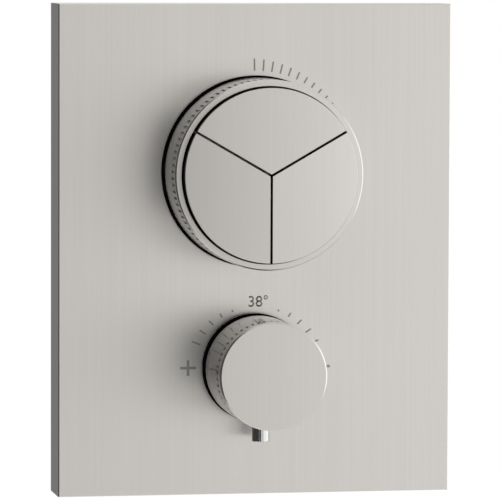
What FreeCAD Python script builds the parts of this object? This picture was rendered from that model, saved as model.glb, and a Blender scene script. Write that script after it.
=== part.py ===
import FreeCAD, Part
import Sketcher
import os
import re

# A concealed thermostatic shower valve: a pan-shaped faceplate with a flow ring round three
# push buttons and a temperature knob, and behind it the brass valve body with its cartridges.
#
# The row frame has +Z up and +X to the right as seen from the room. The room is on the -Y
# side. The origin is the centre of the four wall fixings, on the back of the bracket.
# "Height" below always means the distance in front of the faceplate's front face, so what
# lies behind that face has a negative height.

document = FreeCAD.newDocument("thermostatic_shower_valve")
sheet = document.addObject("Spreadsheet::Sheet", "dims")

SIZES = [
    # faceplate
    ("plate_width", 162, "faceplate, side to side"),
    ("plate_height", 200, "faceplate, top to bottom"),
    ("plate_depth", 24, "faceplate pan, front face to wall"),
    ("plate_skin", 2.5, "front wall of the pan"),
    ("plate_side", 2, "side walls of the pan"),
    ("plate_bevel", 0.4, "bevel along the front edges"),
    ("plate_back_round", 1.5, "rounding along the back edges"),
    ("install_depth", 61, "finished wall to the back of the bracket"),
    ("dial_z", 31.9, "flow dial axis above the plate's centre"),
    ("knob_z", -48.1, "temperature knob axis from the plate's centre"),
    # flow ring
    ("ring_radius", 38.3, "outside of the flow ring"),
    ("ring_wall", 2.5, "wall of the flow ring"),
    ("ring_back", 2.4, "back edge of the flow ring"),
    ("ring_front", 30.6, "front rim of the flow ring"),
    ("ring_bevel", 0.5, "bevel round the front rim"),
    ("ring_line", 6.4, "height of the line turned round the ring"),
    ("line_width", 1, "width of a turned line"),
    ("line_depth", 0.5, "depth of a turned line"),
    ("ring_notches", 90, "grip notches round the ring"),
    ("notch_back", 19.8, "back end of the ring's notches"),
    ("notch_front", 28.8, "front end of the ring's notches"),
    ("notch_width", 1.1, "width of a grip notch"),
    ("notch_depth", 0.45, "depth of a grip notch"),
    ("flow_turn", 55, "how far the flow ring turns, in degrees"),
    # bushes in the faceplate
    ("bush_flange", 39, "radius of the dial bush's flange"),
    ("bush_flange_front", 2, "front of the dial bush's flange"),
    ("bush_neck_front", 16, "end of the neck that the ring turns on"),
    ("bush_wall", 1.8, "wall of the dial bush's neck and sleeve"),
    ("bush_tail", 12, "how far both bushes reach behind the front face"),
    ("knob_bush_flange", 22, "radius of the knob bush's flange"),
    ("knob_bush_front", 6.7, "front of the knob bush's flange"),
    ("knob_bush_sleeve", 18, "outside of the knob bush's sleeve"),
    ("knob_bush_bore", 14, "bore of the knob bush"),
    ("bush_nut_height", 5, "thickness of the nuts behind the plate"),
    ("bush_nut_width", 4.5, "how far the nuts reach past the sleeve"),
    # buttons
    ("button_radius", 35.2, "outside of the button disc"),
    ("button_front", 35, "front face of the buttons"),
    ("button_back", 27, "back edge of the button skirts"),
    ("button_face", 3, "thickness of a button's front"),
    ("button_skirt", 1.6, "wall of a button's skirt"),
    ("button_round", 0.3, "rounding of the buttons' outer front edge"),
    ("button_slot", 1, "slot between two buttons"),
    ("button_travel", 3, "how far a button is pressed"),
    ("button_air", 0.5, "air left behind a pressed button"),
    ("outlet_circle", 20, "button stems and outlet cartridges, from the dial axis"),
    ("stem_radius", 3, "button stem"),
    ("stem_collar", 4.7, "collar that the return spring pushes on"),
    ("stem_collar_height", 2, "thickness of that collar"),
    ("stem_head", 6, "disc that the cap is pressed on"),
    ("stem_head_height", 2, "thickness of that disc"),
    ("guide_tube", 6, "outside of the button carrier's tubes"),
    ("guide_counterbore", 5, "room for the return spring in a tube"),
    ("guide_step", 0, "height of the step that stops the collar"),
    ("carrier_plate", 2.5, "thickness of the button carrier's plate"),
    ("carrier_gap", 0.8, "air round the button carrier's plate"),
    ("valve_disc_radius", 7, "rubber disc that shuts an outlet"),
    ("valve_disc_height", 2, "thickness of that disc"),
    # ring driver and flow cartridge
    ("driver_back", 17, "back of the driver plate in the ring"),
    ("driver_front", 20, "front of the driver plate"),
    ("driver_hub", 8, "radius of the driver's hub"),
    ("driver_hub_back", 6, "back end of the driver's hub"),
    ("driver_rim", 31, "outer edge of the driver's windows"),
    ("driver_window", 12.5, "inner edge of the driver's windows"),
    ("driver_spoke", 15, "angle taken by one spoke, in degrees"),
    ("spindle_radius", 4, "flow spindle and temperature spindle"),
    ("spindle_end", 15, "front end of the flow spindle"),
    ("screw_radius", 2, "small screws that hold the drivers"),
    ("screw_head", 3.6, "heads of the small screws"),
    ("screw_head_height", 2.2, "thickness of those heads"),
    ("driver_screw_length", 8, "driver screw in the spindle"),
    ("flow_cartridge_radius", 8.8, "outside of the flow cartridge"),
    ("flow_cartridge_bore", 6.6, "inside of the flow cartridge"),
    ("flow_cartridge_top", 3.5, "thickness of the cartridge's top"),
    ("flow_cartridge_length", 34, "length of the flow cartridge"),
    ("disc_height", 4, "thickness of a ceramic disc"),
    ("flow_chamber", 10, "water room between the cartridge's top and the discs"),
    ("flow_ports", 3, "ports in each ceramic disc, and round the flow cartridge"),
    ("disc_port", 1.5, "radius of the ports in the ceramic discs"),
    ("disc_port_circle", 3.9, "circle of those ports"),
    ("spindle_dog_height", 2.5, "disc at the inner end of the flow spindle"),
    # valve body, upper part
    ("manifold_radius", 35, "upper cylinder of the valve body"),
    ("manifold_front", -28, "front face of the upper cylinder"),
    ("clamp_height", 4, "thickness of the cartridge clamp plate"),
    ("outlet_bore", 9.5, "bores for the outlet cartridges"),
    ("outlet_cartridge_length", 18, "outlet cartridge in its bore"),
    ("outlet_chamber", 12, "chamber below an outlet cartridge"),
    ("outlet_flange", 10.6, "flange of an outlet cartridge"),
    ("outlet_flange_height", 2, "thickness of that flange"),
    ("seat_radius", 5, "water way through an outlet cartridge"),
    ("seat_guide", 8, "length of the stem's guide in that cartridge"),
    ("port_radius", 2.4, "cross drillings between the cartridges"),
    ("port_setback", 1, "those drillings, from the flow cartridge's top wall"),
    ("outlet_ports", 6, "ports round an outlet cartridge"),
    ("clamp_screw_circle", 28, "circle of the clamp plate's screws"),
    # valve body, lower part
    ("thermo_radius", 24, "lower cylinder of the valve body"),
    ("thermo_front", -14, "front of the lower cylinder"),
    ("thermo_nut_radius", 21, "nut that holds the thermostatic cartridge"),
    ("thermo_nut_height", 8, "thickness of that nut"),
    ("thermo_flange", 19, "flange of the thermostatic cartridge"),
    ("thermo_flange_height", 2.5, "thickness of that flange"),
    ("thermo_bore", 17, "bore for the thermostatic cartridge"),
    ("thermo_inner", 13, "inside of the thermostatic cartridge"),
    ("thermo_neck", 12, "neck of the thermostatic cartridge"),
    ("thermo_neck_front", 3, "front end of that neck"),
    ("thermo_length", 44, "cartridge behind its flange"),
    ("thermo_cap", 4, "top wall of the cartridge"),
    ("thermo_floor", 2, "floor of the cartridge"),
    ("thermo_ports", 8, "ports round the cartridge, for hot and for cold"),
    ("chamber_wall", 3, "back wall of the mixing chamber"),
    ("neck_radius", 8, "neck between the two cylinders"),
    ("neck_setback", 0.5, "neck, in front of the foot's back face"),
    # pipes of the valve body
    ("pipe_radius", 14, "outside of the inlet and outlet stubs"),
    ("thread_radius", 9.3, "minor radius of a G 1/2 thread"),
    ("thread_length", 14, "depth of the threads"),
    ("stub_reach", 60, "end of the side stubs, from the centre line"),
    ("top_reach", 90, "end of the top outlet above the plate's centre"),
    ("inlet_height", -58, "height of the inlets' axis"),
    ("outlet_height", -52, "height of the outlets' axis"),
    ("waterway", 5, "radius of the drilled water ways"),
    ("port_offset", 4.5, "hot and cold drillings, off the inlets' axis"),
    ("valve_bore", 7.6, "bores for the check valves"),
    ("check_valve_length", 14, "length of a check valve"),
    ("check_valve_bore", 4.5, "way through a check valve"),
    ("filter_height", 1.5, "thickness of an inlet filter"),
    # foot, bracket and pillars
    ("foot_width", 94, "foot of the valve body, side to side"),
    ("foot_top", 60, "top of the foot, from the plate's centre"),
    ("foot_bottom", 79, "bottom of the foot, from the plate's centre"),
    ("foot_height", 6, "thickness of the foot"),
    ("foot_screw_inset", 7, "foot screws, from the foot's edges"),
    ("m5_radius", 2.5, "M5 screws"),
    ("m5_head", 4.4, "heads of the M5 screws"),
    ("m5_head_height", 3, "thickness of those heads"),
    ("socket_radius", 1.6, "key socket in a screw head"),
    ("socket_depth", 1.4, "depth of that socket"),
    ("bracket_sheet", 2.5, "thickness of the wall bracket"),
    ("bracket_width", 124, "wall bracket, side to side"),
    ("bracket_height", 176, "wall bracket, top to bottom"),
    ("fixing_x", 108, "wall fixings, side to side"),
    ("fixing_z", 160, "wall fixings, top to bottom"),
    ("fixing_hole", 2.75, "radius of the wall fixing holes"),
    ("pillar_x", 104, "pillars, side to side"),
    ("pillar_z", 134, "pillars, top to bottom"),
    ("pillar_radius", 4, "pillars between bracket and plate carrier"),
    ("pillar_spigot", 3, "riveted end of a pillar"),
    ("pillar_thread", 12, "depth of the screws in the pillars"),
    # plate carrier, seal and grub screws
    ("frame_front", 8, "plate carrier's rim, behind the front face"),
    ("frame_base", 2, "thickness of the plate carrier"),
    ("frame_gap", 0.6, "air between plate carrier and faceplate"),
    ("seal_height", 2, "foam seal against the wall"),
    ("seal_width", 8, "width of the foam seal"),
    ("grub_radius", 2, "grub screws in the faceplate's lower edge"),
    ("grub_x", 96, "grub screws, side to side"),
    ("grub_height", 12, "grub screws behind the front face"),
    ("hole_air", 1.5, "air round what passes through the plate carrier"),
    # temperature knob
    ("knob_radius", 21.8, "outside of the temperature knob"),
    ("knob_wall", 2.2, "wall of the knob"),
    ("knob_face", 3, "front wall of the knob"),
    ("knob_back", 7.1, "back edge of the knob"),
    ("knob_front", 41.4, "front face of the knob"),
    ("knob_bevel", 0.6, "bevel round the knob's face"),
    ("knob_line", 10.8, "height of the line turned round the knob"),
    ("knob_notches", 54, "grip notches round the knob"),
    ("knob_notch_back", 32.3, "back end of the knob's notches"),
    ("knob_notch_front", 36.3, "front end of the knob's notches"),
    ("knob_notch_width", 0.9, "width of the knob's notches"),
    ("insert_front", 36.4, "front of the knob's insert"),
    ("insert_back", 20, "back of the insert's disc"),
    ("insert_hub", 8, "radius of the insert's hub"),
    ("insert_hub_back", 17.2, "back end of the insert's hub"),
    ("temperature_spindle_end", 29, "front end of the temperature spindle"),
    ("insert_screw_length", 11, "insert screw, below its head"),
    ("knob_turn", 90, "how far the knob turns each way, in degrees"),
    # safety button in the knob
    ("pin_radius", 3.6, "safety button"),
    ("pin_height", 13, "axis of the safety button"),
    ("pin_end", 29, "outer end of the safety button, from the knob's axis"),
    ("pin_bevel", 0.3, "bevel round the safety button's end"),
    ("pin_flange", 4.4, "flange that keeps the button in the knob"),
    ("pin_flange_height", 1.2, "thickness of that flange"),
    ("pin_stem", 1.6, "stem behind the flange"),
    ("pin_stem_overhang", 0.7, "inner end of the stem, past the wall that guides it"),
    ("pin_wall", 1.8, "thickness of that wall"),
    ("pin_wall_width", 12, "width of that wall"),
    ("pin_travel", 2.5, "how far the safety button is pressed"),
    # regulating unit
    ("stop_ring_wall", 1.4, "wall of the temperature stop ring"),
    ("stop_ring_height", 6, "length of that ring"),
    ("regulator_thread", 5.5, "threaded end of the temperature spindle"),
    ("spindle_flange_height", 2, "flange that keeps the spindle in the cartridge"),
    ("regulator_air", 1, "air in front of and behind the regulating nut at its limits"),
    ("regulator_length", 10, "threaded length of the nut"),
    ("regulator_floor", 2, "floor of the nut"),
    ("wax_radius", 4.5, "wax element"),
    ("wax_length", 19, "wax element behind the nut"),
    ("wax_gap", 1.5, "water way round the wax element in the cartridge's floor"),
    ("shuttle_height", 6, "length of the shuttle"),
    ("shuttle_wall", 2.4, "wall of the shuttle"),
    ("shuttle_web", 2, "web between shuttle and wax element"),
    ("regulator_lead", 4, "travel of the nut in one turn of the knob"),
    # springs, seals and clearances
    ("spring_wire", 0.45, "wire radius of the button springs"),
    ("spring_coils", 7, "turns of a button spring"),
    ("pin_spring_wire", 0.3, "wire radius of the safety button's spring"),
    ("pin_spring_coils", 4, "turns of that spring"),
    ("return_spring_wire", 0.5, "wire radius of the shuttle's spring"),
    ("return_spring_coils", 2, "turns of that spring"),
    ("ring_seal", 0.9, "section radius of the O-rings"),
    ("running_gap", 0.05, "radial clearance of a running fit"),
    ("fit_gap", 0.1, "clearance of a piece in its seat"),
    ("face_gap", 0.05, "clearance between faces that turn on each other"),
]

for row, (name, size, note) in enumerate(SIZES, start=1):
    sheet.set(f"A{row}", name)
    sheet.set(f"B{row}", str(size))
    sheet.setAlias(f"B{row}", name)
    sheet.set(f"C{row}", note)
document.recompute()

KEPT_WORDS = {"sin", "cos", "asin", "sqrt", "deg"}
FACING = {
    "room": FreeCAD.Rotation(FreeCAD.Vector(1, 0, 0), 90),
    "up": FreeCAD.Rotation(),
    "down": FreeCAD.Rotation(FreeCAD.Vector(1, 0, 0), 180),
    "left": FreeCAD.Rotation(FreeCAD.Vector(0, 1, 0), -90),
    "right": FreeCAD.Rotation(FreeCAD.Vector(0, 1, 0), 90),
}
BUTTONS = {"top": 90, "lower_left": 210, "lower_right": 330}
pieces = []


def bound(text):
    """Turns 'plate_width / 2' into an expression on the sheet's cells."""
    return re.sub(
        r"[a-z][a-z0-9_]*",
        lambda word: word.group() if word.group() in KEPT_WORDS else "dims." + word.group(),
        str(text),
    )


def value(text):
    """The number that an expression on the sheet's cells gives now."""
    result = sheet.evalExpression(bound(text))
    return float(getattr(result, "Value", result))


def bind(thing, **properties):
    for name, text in properties.items():
        thing.setExpression(name, bound(text))


def place(thing, x="0", height="0", z="0", facing="room"):
    """Puts a thing's own origin at x, height, z, with its own Z axis in the way it faces."""
    thing.Placement = FreeCAD.Placement(FreeCAD.Vector(), FACING[facing])
    thing.setExpression("Placement.Base.x", bound(x))
    thing.setExpression("Placement.Base.y", bound(f"-(plate_depth + install_depth + {height})"))
    thing.setExpression("Placement.Base.z", bound(z))
    return thing


def keep(thing, label):
    thing.Label = label
    pieces.append(thing)
    return thing


# Bodies made of sketches and features ------------------------------------------------------

def new_body(label, **where):
    body = document.addObject("PartDesign::Body", label + "_body")
    place(body, **where)
    return keep(body, label)


def origin_part(body, role):
    return next(part for part in body.Origin.OriginFeatures if part.Role == role)


def new_sketch(body, name, plane="XY_Plane", offset="0"):
    sketch = body.newObject("Sketcher::SketchObject", f"{body.Label}_{name}")
    sketch.AttachmentSupport = [(origin_part(body, plane), "")]
    sketch.MapMode = "FlatFace"
    sketch.setExpression("AttachmentOffset.Base.z", bound(offset))
    return sketch


def fix_point(sketch, geometry, end, x, y):
    """Holds one end of a line, or a circle's centre (end 3), at a place from the sheet."""
    for kind, text in (("DistanceX", x), ("DistanceY", y)):
        rule = sketch.addConstraint(Sketcher.Constraint(kind, -1, 1, geometry, end, value(text)))
        sketch.setExpression(f"Constraints[{rule}]", bound(text))


def fix_on_arc(sketch, geometry, end, x, y):
    """Holds a point that an arc round the origin already holds at its radius."""
    kind, text = ("DistanceX", x) if abs(value(y)) > abs(value(x)) else ("DistanceY", y)
    rule = sketch.addConstraint(Sketcher.Constraint(kind, -1, 1, geometry, end, value(text)))
    sketch.setExpression(f"Constraints[{rule}]", bound(text))


def draw_outline(sketch, points):
    """A closed outline of straight lines, each corner held by the sheet."""
    corners = [FreeCAD.Vector(value(x), value(y), 0) for x, y in points]
    count = len(corners)
    first = sketch.GeometryCount
    for index in range(count):
        sketch.addGeometry(Part.LineSegment(corners[index], corners[(index + 1) % count]))
    for index in range(count):
        following = first + (index + 1) % count
        sketch.addConstraint(Sketcher.Constraint("Coincident", first + index, 2, following, 1))
    for index, (x, y) in enumerate(points):
        fix_point(sketch, first + index, 1, x, y)


def draw_rectangle(sketch, x_low, y_low, x_high, y_high):
    draw_outline(sketch, [(x_low, y_low), (x_high, y_low), (x_high, y_high), (x_low, y_high)])


def draw_circle(sketch, x, y, radius):
    centre = FreeCAD.Vector(value(x), value(y), 0)
    circle = sketch.addGeometry(Part.Circle(centre, FreeCAD.Vector(0, 0, 1), value(radius)))
    fix_point(sketch, circle, 3, x, y)
    rule = sketch.addConstraint(Sketcher.Constraint("Radius", circle, value(radius)))
    sketch.setExpression(f"Constraints[{rule}]", bound(radius))


def revolve(body, name, points):
    """Turns an outline of (radius, height) points round the body's own Z axis."""
    sketch = new_sketch(body, name + "_outline", "XZ_Plane")
    draw_outline(sketch, points)
    feature = body.newObject("PartDesign::Revolution", f"{body.Label}_{name}")
    feature.Profile = sketch
    feature.ReferenceAxis = (sketch, ["V_Axis"])
    feature.Angle = 360
    return feature


def turned(label, points, **where):
    body = new_body(label, **where)
    revolve(body, "turning", points)
    return body


def sleeve(label, inner, outer, back, front, **where):
    return turned(label, [(inner, back), (outer, back), (outer, front), (inner, front)], **where)


def pad(body, sketch, length):
    feature = body.newObject("PartDesign::Pad", sketch.Name + "_pad")
    feature.Profile = sketch
    bind(feature, Length=length)
    return feature


def cut_away(body, sketch, length=None, forward=False):
    """Pockets a sketch: by a length or right through, backward or forward of its plane."""
    document.recompute()
    before = body.Shape.Volume
    feature = body.newObject("PartDesign::Pocket", sketch.Name + "_pocket")
    feature.Profile = sketch
    feature.Reversed = forward
    if length is None:
        feature.Type = "ThroughAll"
    else:
        bind(feature, Length=length)
    document.recompute()
    if not body.Shape.Volume < before:
        raise RuntimeError(f"{sketch.Name} cuts nothing from {body.Label}")
    return feature


def repeat_round(body, feature, count):
    pattern = body.newObject("PartDesign::PolarPattern", feature.Name + "_ring")
    pattern.Originals = [feature]
    pattern.Axis = (origin_part(body, "Z_Axis"), [""])
    pattern.Angle = 360
    bind(pattern, Occurrences=count)
    body.Tip = pattern
    return pattern


def dress_edges(body, kind, amount, chosen):
    """Fillets or chamfers the edges of the body that the test chosen(edge) picks."""
    document.recompute()
    base = body.Tip
    names = [f"Edge{n}" for n, edge in enumerate(base.Shape.Edges, start=1) if chosen(edge)]
    feature = body.newObject(f"PartDesign::{kind}", f"{body.Label}_{kind.lower()}_{amount}")
    feature.Base = (base, names)
    if kind == "Fillet":
        bind(feature, Radius=amount)
    else:
        bind(feature, Size=amount)
    return feature


def side_cut(body, name, radius, depth, draw, count):
    """Cuts into the outside of a round piece, from its lowest line, repeated round it."""
    sketch = new_sketch(body, name, "XZ_Plane", f"{radius} - {depth}")
    draw(sketch)
    return repeat_round(body, cut_away(body, sketch, f"2 * {depth}", forward=True), count)


# Pieces made of primitives -----------------------------------------------------------------

def cylinder(name, radius, back, front, x="0", z="0"):
    """A cylinder towards the room, between two heights."""
    shape = document.addObject("Part::Cylinder", name)
    bind(shape, Radius=radius, Height=f"({front}) - ({back})")
    return place(shape, x, back, z)


def pipe(name, radius, length, facing, x, height, z):
    """A cylinder of a given length from a point, in any way that it may face."""
    shape = document.addObject("Part::Cylinder", name)
    bind(shape, Radius=radius, Height=length)
    return place(shape, x, height, z, facing)


def block(name, x_low, x_high, z_low, z_high, back, front):
    shape = document.addObject("Part::Box", name)
    bind(shape, Length=f"({x_high}) - ({x_low})", Width=f"({z_high}) - ({z_low})",
         Height=f"({front}) - ({back})")
    return place(shape, x_low, back, z_low)


def fuse(name, shapes):
    result = document.addObject("Part::MultiFuse", name)
    result.Shapes = shapes
    return result


def cut(name, base, tools):
    result = document.addObject("Part::Cut", name)
    result.Base = base
    result.Tool = tools[0] if len(tools) == 1 else fuse(name + "_tools", tools)
    return result


def group(label, members):
    """Separate like solids that share one node."""
    result = document.addObject("Part::Compound", label + "_group")
    result.Links = members
    return keep(result, label)


def pan_screw(name, radius, head, head_height, under_head, length, x, z):
    """A pan-head screw with a key socket, its head towards the room."""
    shank = cylinder(name + "_shank", radius, f"{under_head} - ({length})", under_head, x, z)
    top = f"{under_head} + {head_height}"
    cap = cylinder(name + "_head", head, under_head, top, x, z)
    key = cylinder(name + "_key", "socket_radius", f"{top} - socket_depth", top, x, z)
    return cut(name, fuse(name + "_blank", [shank, cap]), [key])


def seal_groove(body, seat, height):
    """Cuts the groove of an O-ring that seals on a bore of the seat's radius."""
    sketch = new_sketch(body, "groove", "XZ_Plane")
    draw_rectangle(sketch, f"{seat} - 2 * ring_seal", f"{height} - ring_seal - fit_gap",
                   f"{seat} + ring_seal", f"{height} + ring_seal + fit_gap")
    feature = body.newObject("PartDesign::Groove", sketch.Name + "_cut")
    feature.Profile = sketch
    feature.ReferenceAxis = (sketch, ["V_Axis"])
    feature.Angle = 360
    document.recompute()


def o_ring(name, seat, height, x, z):
    ring = document.addObject("Part::Torus", name)
    bind(ring, Radius1=f"{seat} - ring_seal", Radius2="ring_seal")
    return place(ring, x, height, z)


def coil_spring(label, wire, mean, coils, back, front, **where):
    """An open compression spring between two heights."""
    body = new_body(label, **where)
    sketch = new_sketch(body, "wire", "XZ_Plane")
    draw_circle(sketch, mean, f"({back}) + {wire}", wire)
    feature = body.newObject("PartDesign::AdditiveHelix", label + "_coil")
    feature.Profile = sketch
    feature.ReferenceAxis = (sketch, ["V_Axis"])
    feature.Mode = "height-turns-angle"
    bind(feature, Height=f"({front}) - ({back}) - 2 * {wire}", Turns=coils)
    return body


# Faceplate ---------------------------------------------------------------------------------

faceplate = new_body("faceplate")
sketch = new_sketch(faceplate, "rim", offset="-plate_depth")
draw_rectangle(sketch, "-plate_width / 2", "-plate_height / 2", "plate_width / 2", "plate_height / 2")
pad(faceplate, sketch, "plate_depth")
dress_edges(faceplate, "Chamfer", "plate_bevel",
            lambda edge: all(abs(v.Z) < 1e-6 for v in edge.Vertexes))
dress_edges(faceplate, "Fillet", "plate_back_round",
            lambda edge: all(abs(v.Z + value("plate_depth")) < 1e-6 for v in edge.Vertexes))
sketch = new_sketch(faceplate, "hollow", offset="-plate_depth")
inner_x = "plate_width / 2 - plate_side"
inner_z = "plate_height / 2 - plate_side"
draw_rectangle(sketch, f"-({inner_x})", f"-({inner_z})", inner_x, inner_z)
cut_away(faceplate, sketch, "plate_depth - plate_skin", forward=True)
bush_sleeve = "(ring_radius - ring_wall - running_gap)"
sketch = new_sketch(faceplate, "openings")
draw_circle(sketch, "0", "dial_z", bush_sleeve)
draw_circle(sketch, "0", "knob_z", "knob_bush_sleeve")
cut_away(faceplate, sketch)
sketch = new_sketch(faceplate, "grub_holes", "XZ_Plane")
for side in (-1, 1):
    draw_circle(sketch, f"{side} * grub_x / 2", "-grub_height", "grub_radius")
cut_away(faceplate, sketch, forward=True)

# Bushes through the faceplate, with the nuts that clamp them -------------------------------

turned("dial_bush", [
    (f"{bush_sleeve} - bush_wall", "-bush_tail"), (bush_sleeve, "-bush_tail"),
    (bush_sleeve, "0"), ("bush_flange", "0"), ("bush_flange", "bush_flange_front"),
    (bush_sleeve, "bush_flange_front"), (bush_sleeve, "bush_neck_front"),
    (f"{bush_sleeve} - bush_wall", "bush_neck_front"),
], z="dial_z")
turned("knob_bush", [
    ("knob_bush_bore", "-bush_tail"), ("knob_bush_sleeve", "-bush_tail"),
    ("knob_bush_sleeve", "0"), ("knob_bush_flange", "0"),
    ("knob_bush_flange", "knob_bush_front"), ("knob_bush_bore", "knob_bush_front"),
], z="knob_z")
for name, inner, z in (("dial", bush_sleeve, "dial_z"), ("knob", "knob_bush_sleeve", "knob_z")):
    sleeve(f"{name}_bush_nut", inner, f"{inner} + bush_nut_width",
           "-plate_skin - bush_nut_height", "-plate_skin", z=z)

# Plate carrier, its screws and pillars, and the seal ---------------------------------------

frame_back = "(-plate_depth + seal_height)"
frame_x = "(plate_width / 2 - plate_side - frame_gap)"
frame_z = "(plate_height / 2 - plate_side - frame_gap)"
bracket_back = "(-plate_depth - install_depth)"
bracket_front = "(-plate_depth - install_depth + bracket_sheet)"
shell = block("carrier_shell", f"-{frame_x}", frame_x, f"-{frame_z}", frame_z,
              frame_back, "-frame_front")
hollow = block("carrier_hollow", f"-({frame_x} - frame_base)", f"{frame_x} - frame_base",
               f"-({frame_z} - frame_base)", f"{frame_z} - frame_base",
               f"{frame_back} + frame_base", "0")
openings = [
    cylinder("carrier_dial_opening", "manifold_radius + hole_air", frame_back, "0", "0", "dial_z"),
    cylinder("carrier_knob_opening", "thermo_radius + hole_air", frame_back, "0", "0", "knob_z"),
]
corners = [(x, z) for x in (-1, 1) for z in (-1, 1)]
pillars = []
screws = []
for number, (x, z) in enumerate(corners):
    at_x = f"{x} * pillar_x / 2"
    at_z = f"{z} * pillar_z / 2"
    openings.append(cylinder(f"carrier_hole_{number}", "m5_radius", frame_back, "0", at_x, at_z))
    stem = cylinder(f"pillar_stem_{number}", "pillar_radius", bracket_front, frame_back, at_x, at_z)
    spigot = cylinder(f"pillar_spigot_{number}", "pillar_spigot", bracket_back, bracket_front,
                      at_x, at_z)
    tap = cylinder(f"pillar_tap_{number}", "m5_radius", f"{frame_back} - pillar_thread", frame_back,
                   at_x, at_z)
    pillars.append(cut(f"pillar_{number}", fuse(f"pillar_blank_{number}", [stem, spigot]), [tap]))
    screws.append(pan_screw(f"carrier_screw_{number}", "m5_radius", "m5_head", "m5_head_height",
                            f"{frame_back} + frame_base", "pillar_thread + frame_base", at_x, at_z))
keep(cut("plate_carrier_frame", cut("carrier_tray", shell, [hollow]), openings), "plate_carrier")
group("pillars", pillars)
group("carrier_screws", screws)

seal = block("seal_sheet", f"-{frame_x}", frame_x, f"-{frame_z}", frame_z, "-plate_depth", frame_back)
seal_window = block("seal_window", f"-({frame_x} - seal_width)", f"{frame_x} - seal_width",
                    f"-({frame_z} - seal_width)", f"{frame_z} - seal_width", "-plate_depth", frame_back)
keep(cut("seal_frame", seal, [seal_window]), "wall_seal")

grubs = []
for number, side in enumerate((-1, 1)):
    edge = "-plate_height / 2"
    shank = pipe(f"grub_shank_{number}", "grub_radius", "plate_side + frame_gap", "up",
                 f"{side} * grub_x / 2", "-grub_height", edge)
    key = pipe(f"grub_key_{number}", "grub_radius / 2", "socket_depth", "up",
               f"{side} * grub_x / 2", "-grub_height", edge)
    grubs.append(cut(f"grub_{number}", shank, [key]))
group("grub_screws", grubs)

# Flow ring ---------------------------------------------------------------------------------

flow_ring = turned("flow_ring", [
    ("ring_radius - ring_wall", "ring_back"), ("ring_radius", "ring_back"),
    ("ring_radius", "ring_line - line_width / 2"),
    ("ring_radius - line_depth", "ring_line - line_width / 2"),
    ("ring_radius - line_depth", "ring_line + line_width / 2"),
    ("ring_radius", "ring_line + line_width / 2"),
    ("ring_radius", "ring_front - ring_bevel"),
    ("ring_radius - ring_bevel", "ring_front"), ("ring_radius - ring_wall", "ring_front"),
], z="dial_z")
side_cut(flow_ring, "notch", "ring_radius", "notch_depth",
         lambda sketch: draw_rectangle(sketch, "-notch_width / 2", "notch_back",
                                       "notch_width / 2", "notch_front"), "ring_notches")

# Ring driver: a plate pressed into the ring, with a window for each button tube ------------

driver_outer = "ring_radius - ring_wall"
ring_driver = turned("ring_driver", [
    ("spindle_radius", "driver_hub_back"), ("driver_hub", "driver_hub_back"),
    ("driver_hub", "driver_back"), (driver_outer, "driver_back"), (driver_outer, "driver_front"),
    ("screw_head + fit_gap", "driver_front"),
    ("screw_head + fit_gap", "driver_front - screw_head_height - fit_gap"),
    ("screw_radius", "driver_front - screw_head_height - fit_gap"),
    ("screw_radius", "spindle_end"), ("spindle_radius", "spindle_end"),
], z="dial_z")
spoke_middle = 90 + 60
window_low = f"({spoke_middle - 120} deg + (flow_turn / 2 + driver_spoke / 2) * 1 deg)"
window_high = f"({spoke_middle} deg + (flow_turn / 2 - driver_spoke / 2) * 1 deg)"


def draw_window(sketch, radii, angles):
    """A closed window between two radii and two angles round the origin."""
    inner, outer = radii
    low, high = angles
    ends = [(inner, low), (outer, low), (outer, high), (inner, high)]
    points = [(f"{r} * cos({a})", f"{r} * sin({a})") for r, a in ends]
    corners = [FreeCAD.Vector(value(x), value(y), 0) for x, y in points]
    axis = FreeCAD.Vector(0, 0, 1)
    first = sketch.GeometryCount
    start, end = (value(angle) * FreeCAD.Units.Quantity("1 deg").getValueAs("rad").Value
                  for angle in angles)
    for radius, one, other in ((outer, 0, 1), (inner, 2, 3)):
        circle = Part.Circle(FreeCAD.Vector(), axis, value(radius))
        sketch.addGeometry(Part.LineSegment(corners[one], corners[other]))
        sketch.addGeometry(Part.ArcOfCircle(circle, start, end))
    joins = [(0, 2, 1, 1), (1, 2, 2, 1), (2, 2, 3, 2), (3, 1, 0, 1)]
    for one, one_end, other, other_end in joins:
        sketch.addConstraint(Sketcher.Constraint("Coincident", first + one, one_end,
                                                 first + other, other_end))
    for arc in (1, 3):
        sketch.addConstraint(Sketcher.Constraint("Coincident", first + arc, 3, -1, 1))
    fix_point(sketch, first, 1, *points[0])
    fix_point(sketch, first, 2, *points[1])
    fix_on_arc(sketch, first + 2, 1, *points[2])
    fix_on_arc(sketch, first + 2, 2, *points[3])


sketch = new_sketch(ring_driver, "window", offset="driver_front")
draw_window(sketch, ("driver_window", "driver_rim"), (window_low, window_high))
repeat_round(ring_driver, cut_away(ring_driver, sketch, "driver_front - driver_back"), len(BUTTONS))

keep(pan_screw("driver_screw_cut", "screw_radius", "screw_head", "screw_head_height",
               "driver_front - screw_head_height - fit_gap", "driver_screw_length", "0", "dial_z"),
     "driver_screw")

# Flow cartridge: housing, spindle and two ceramic discs ------------------------------------

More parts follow.
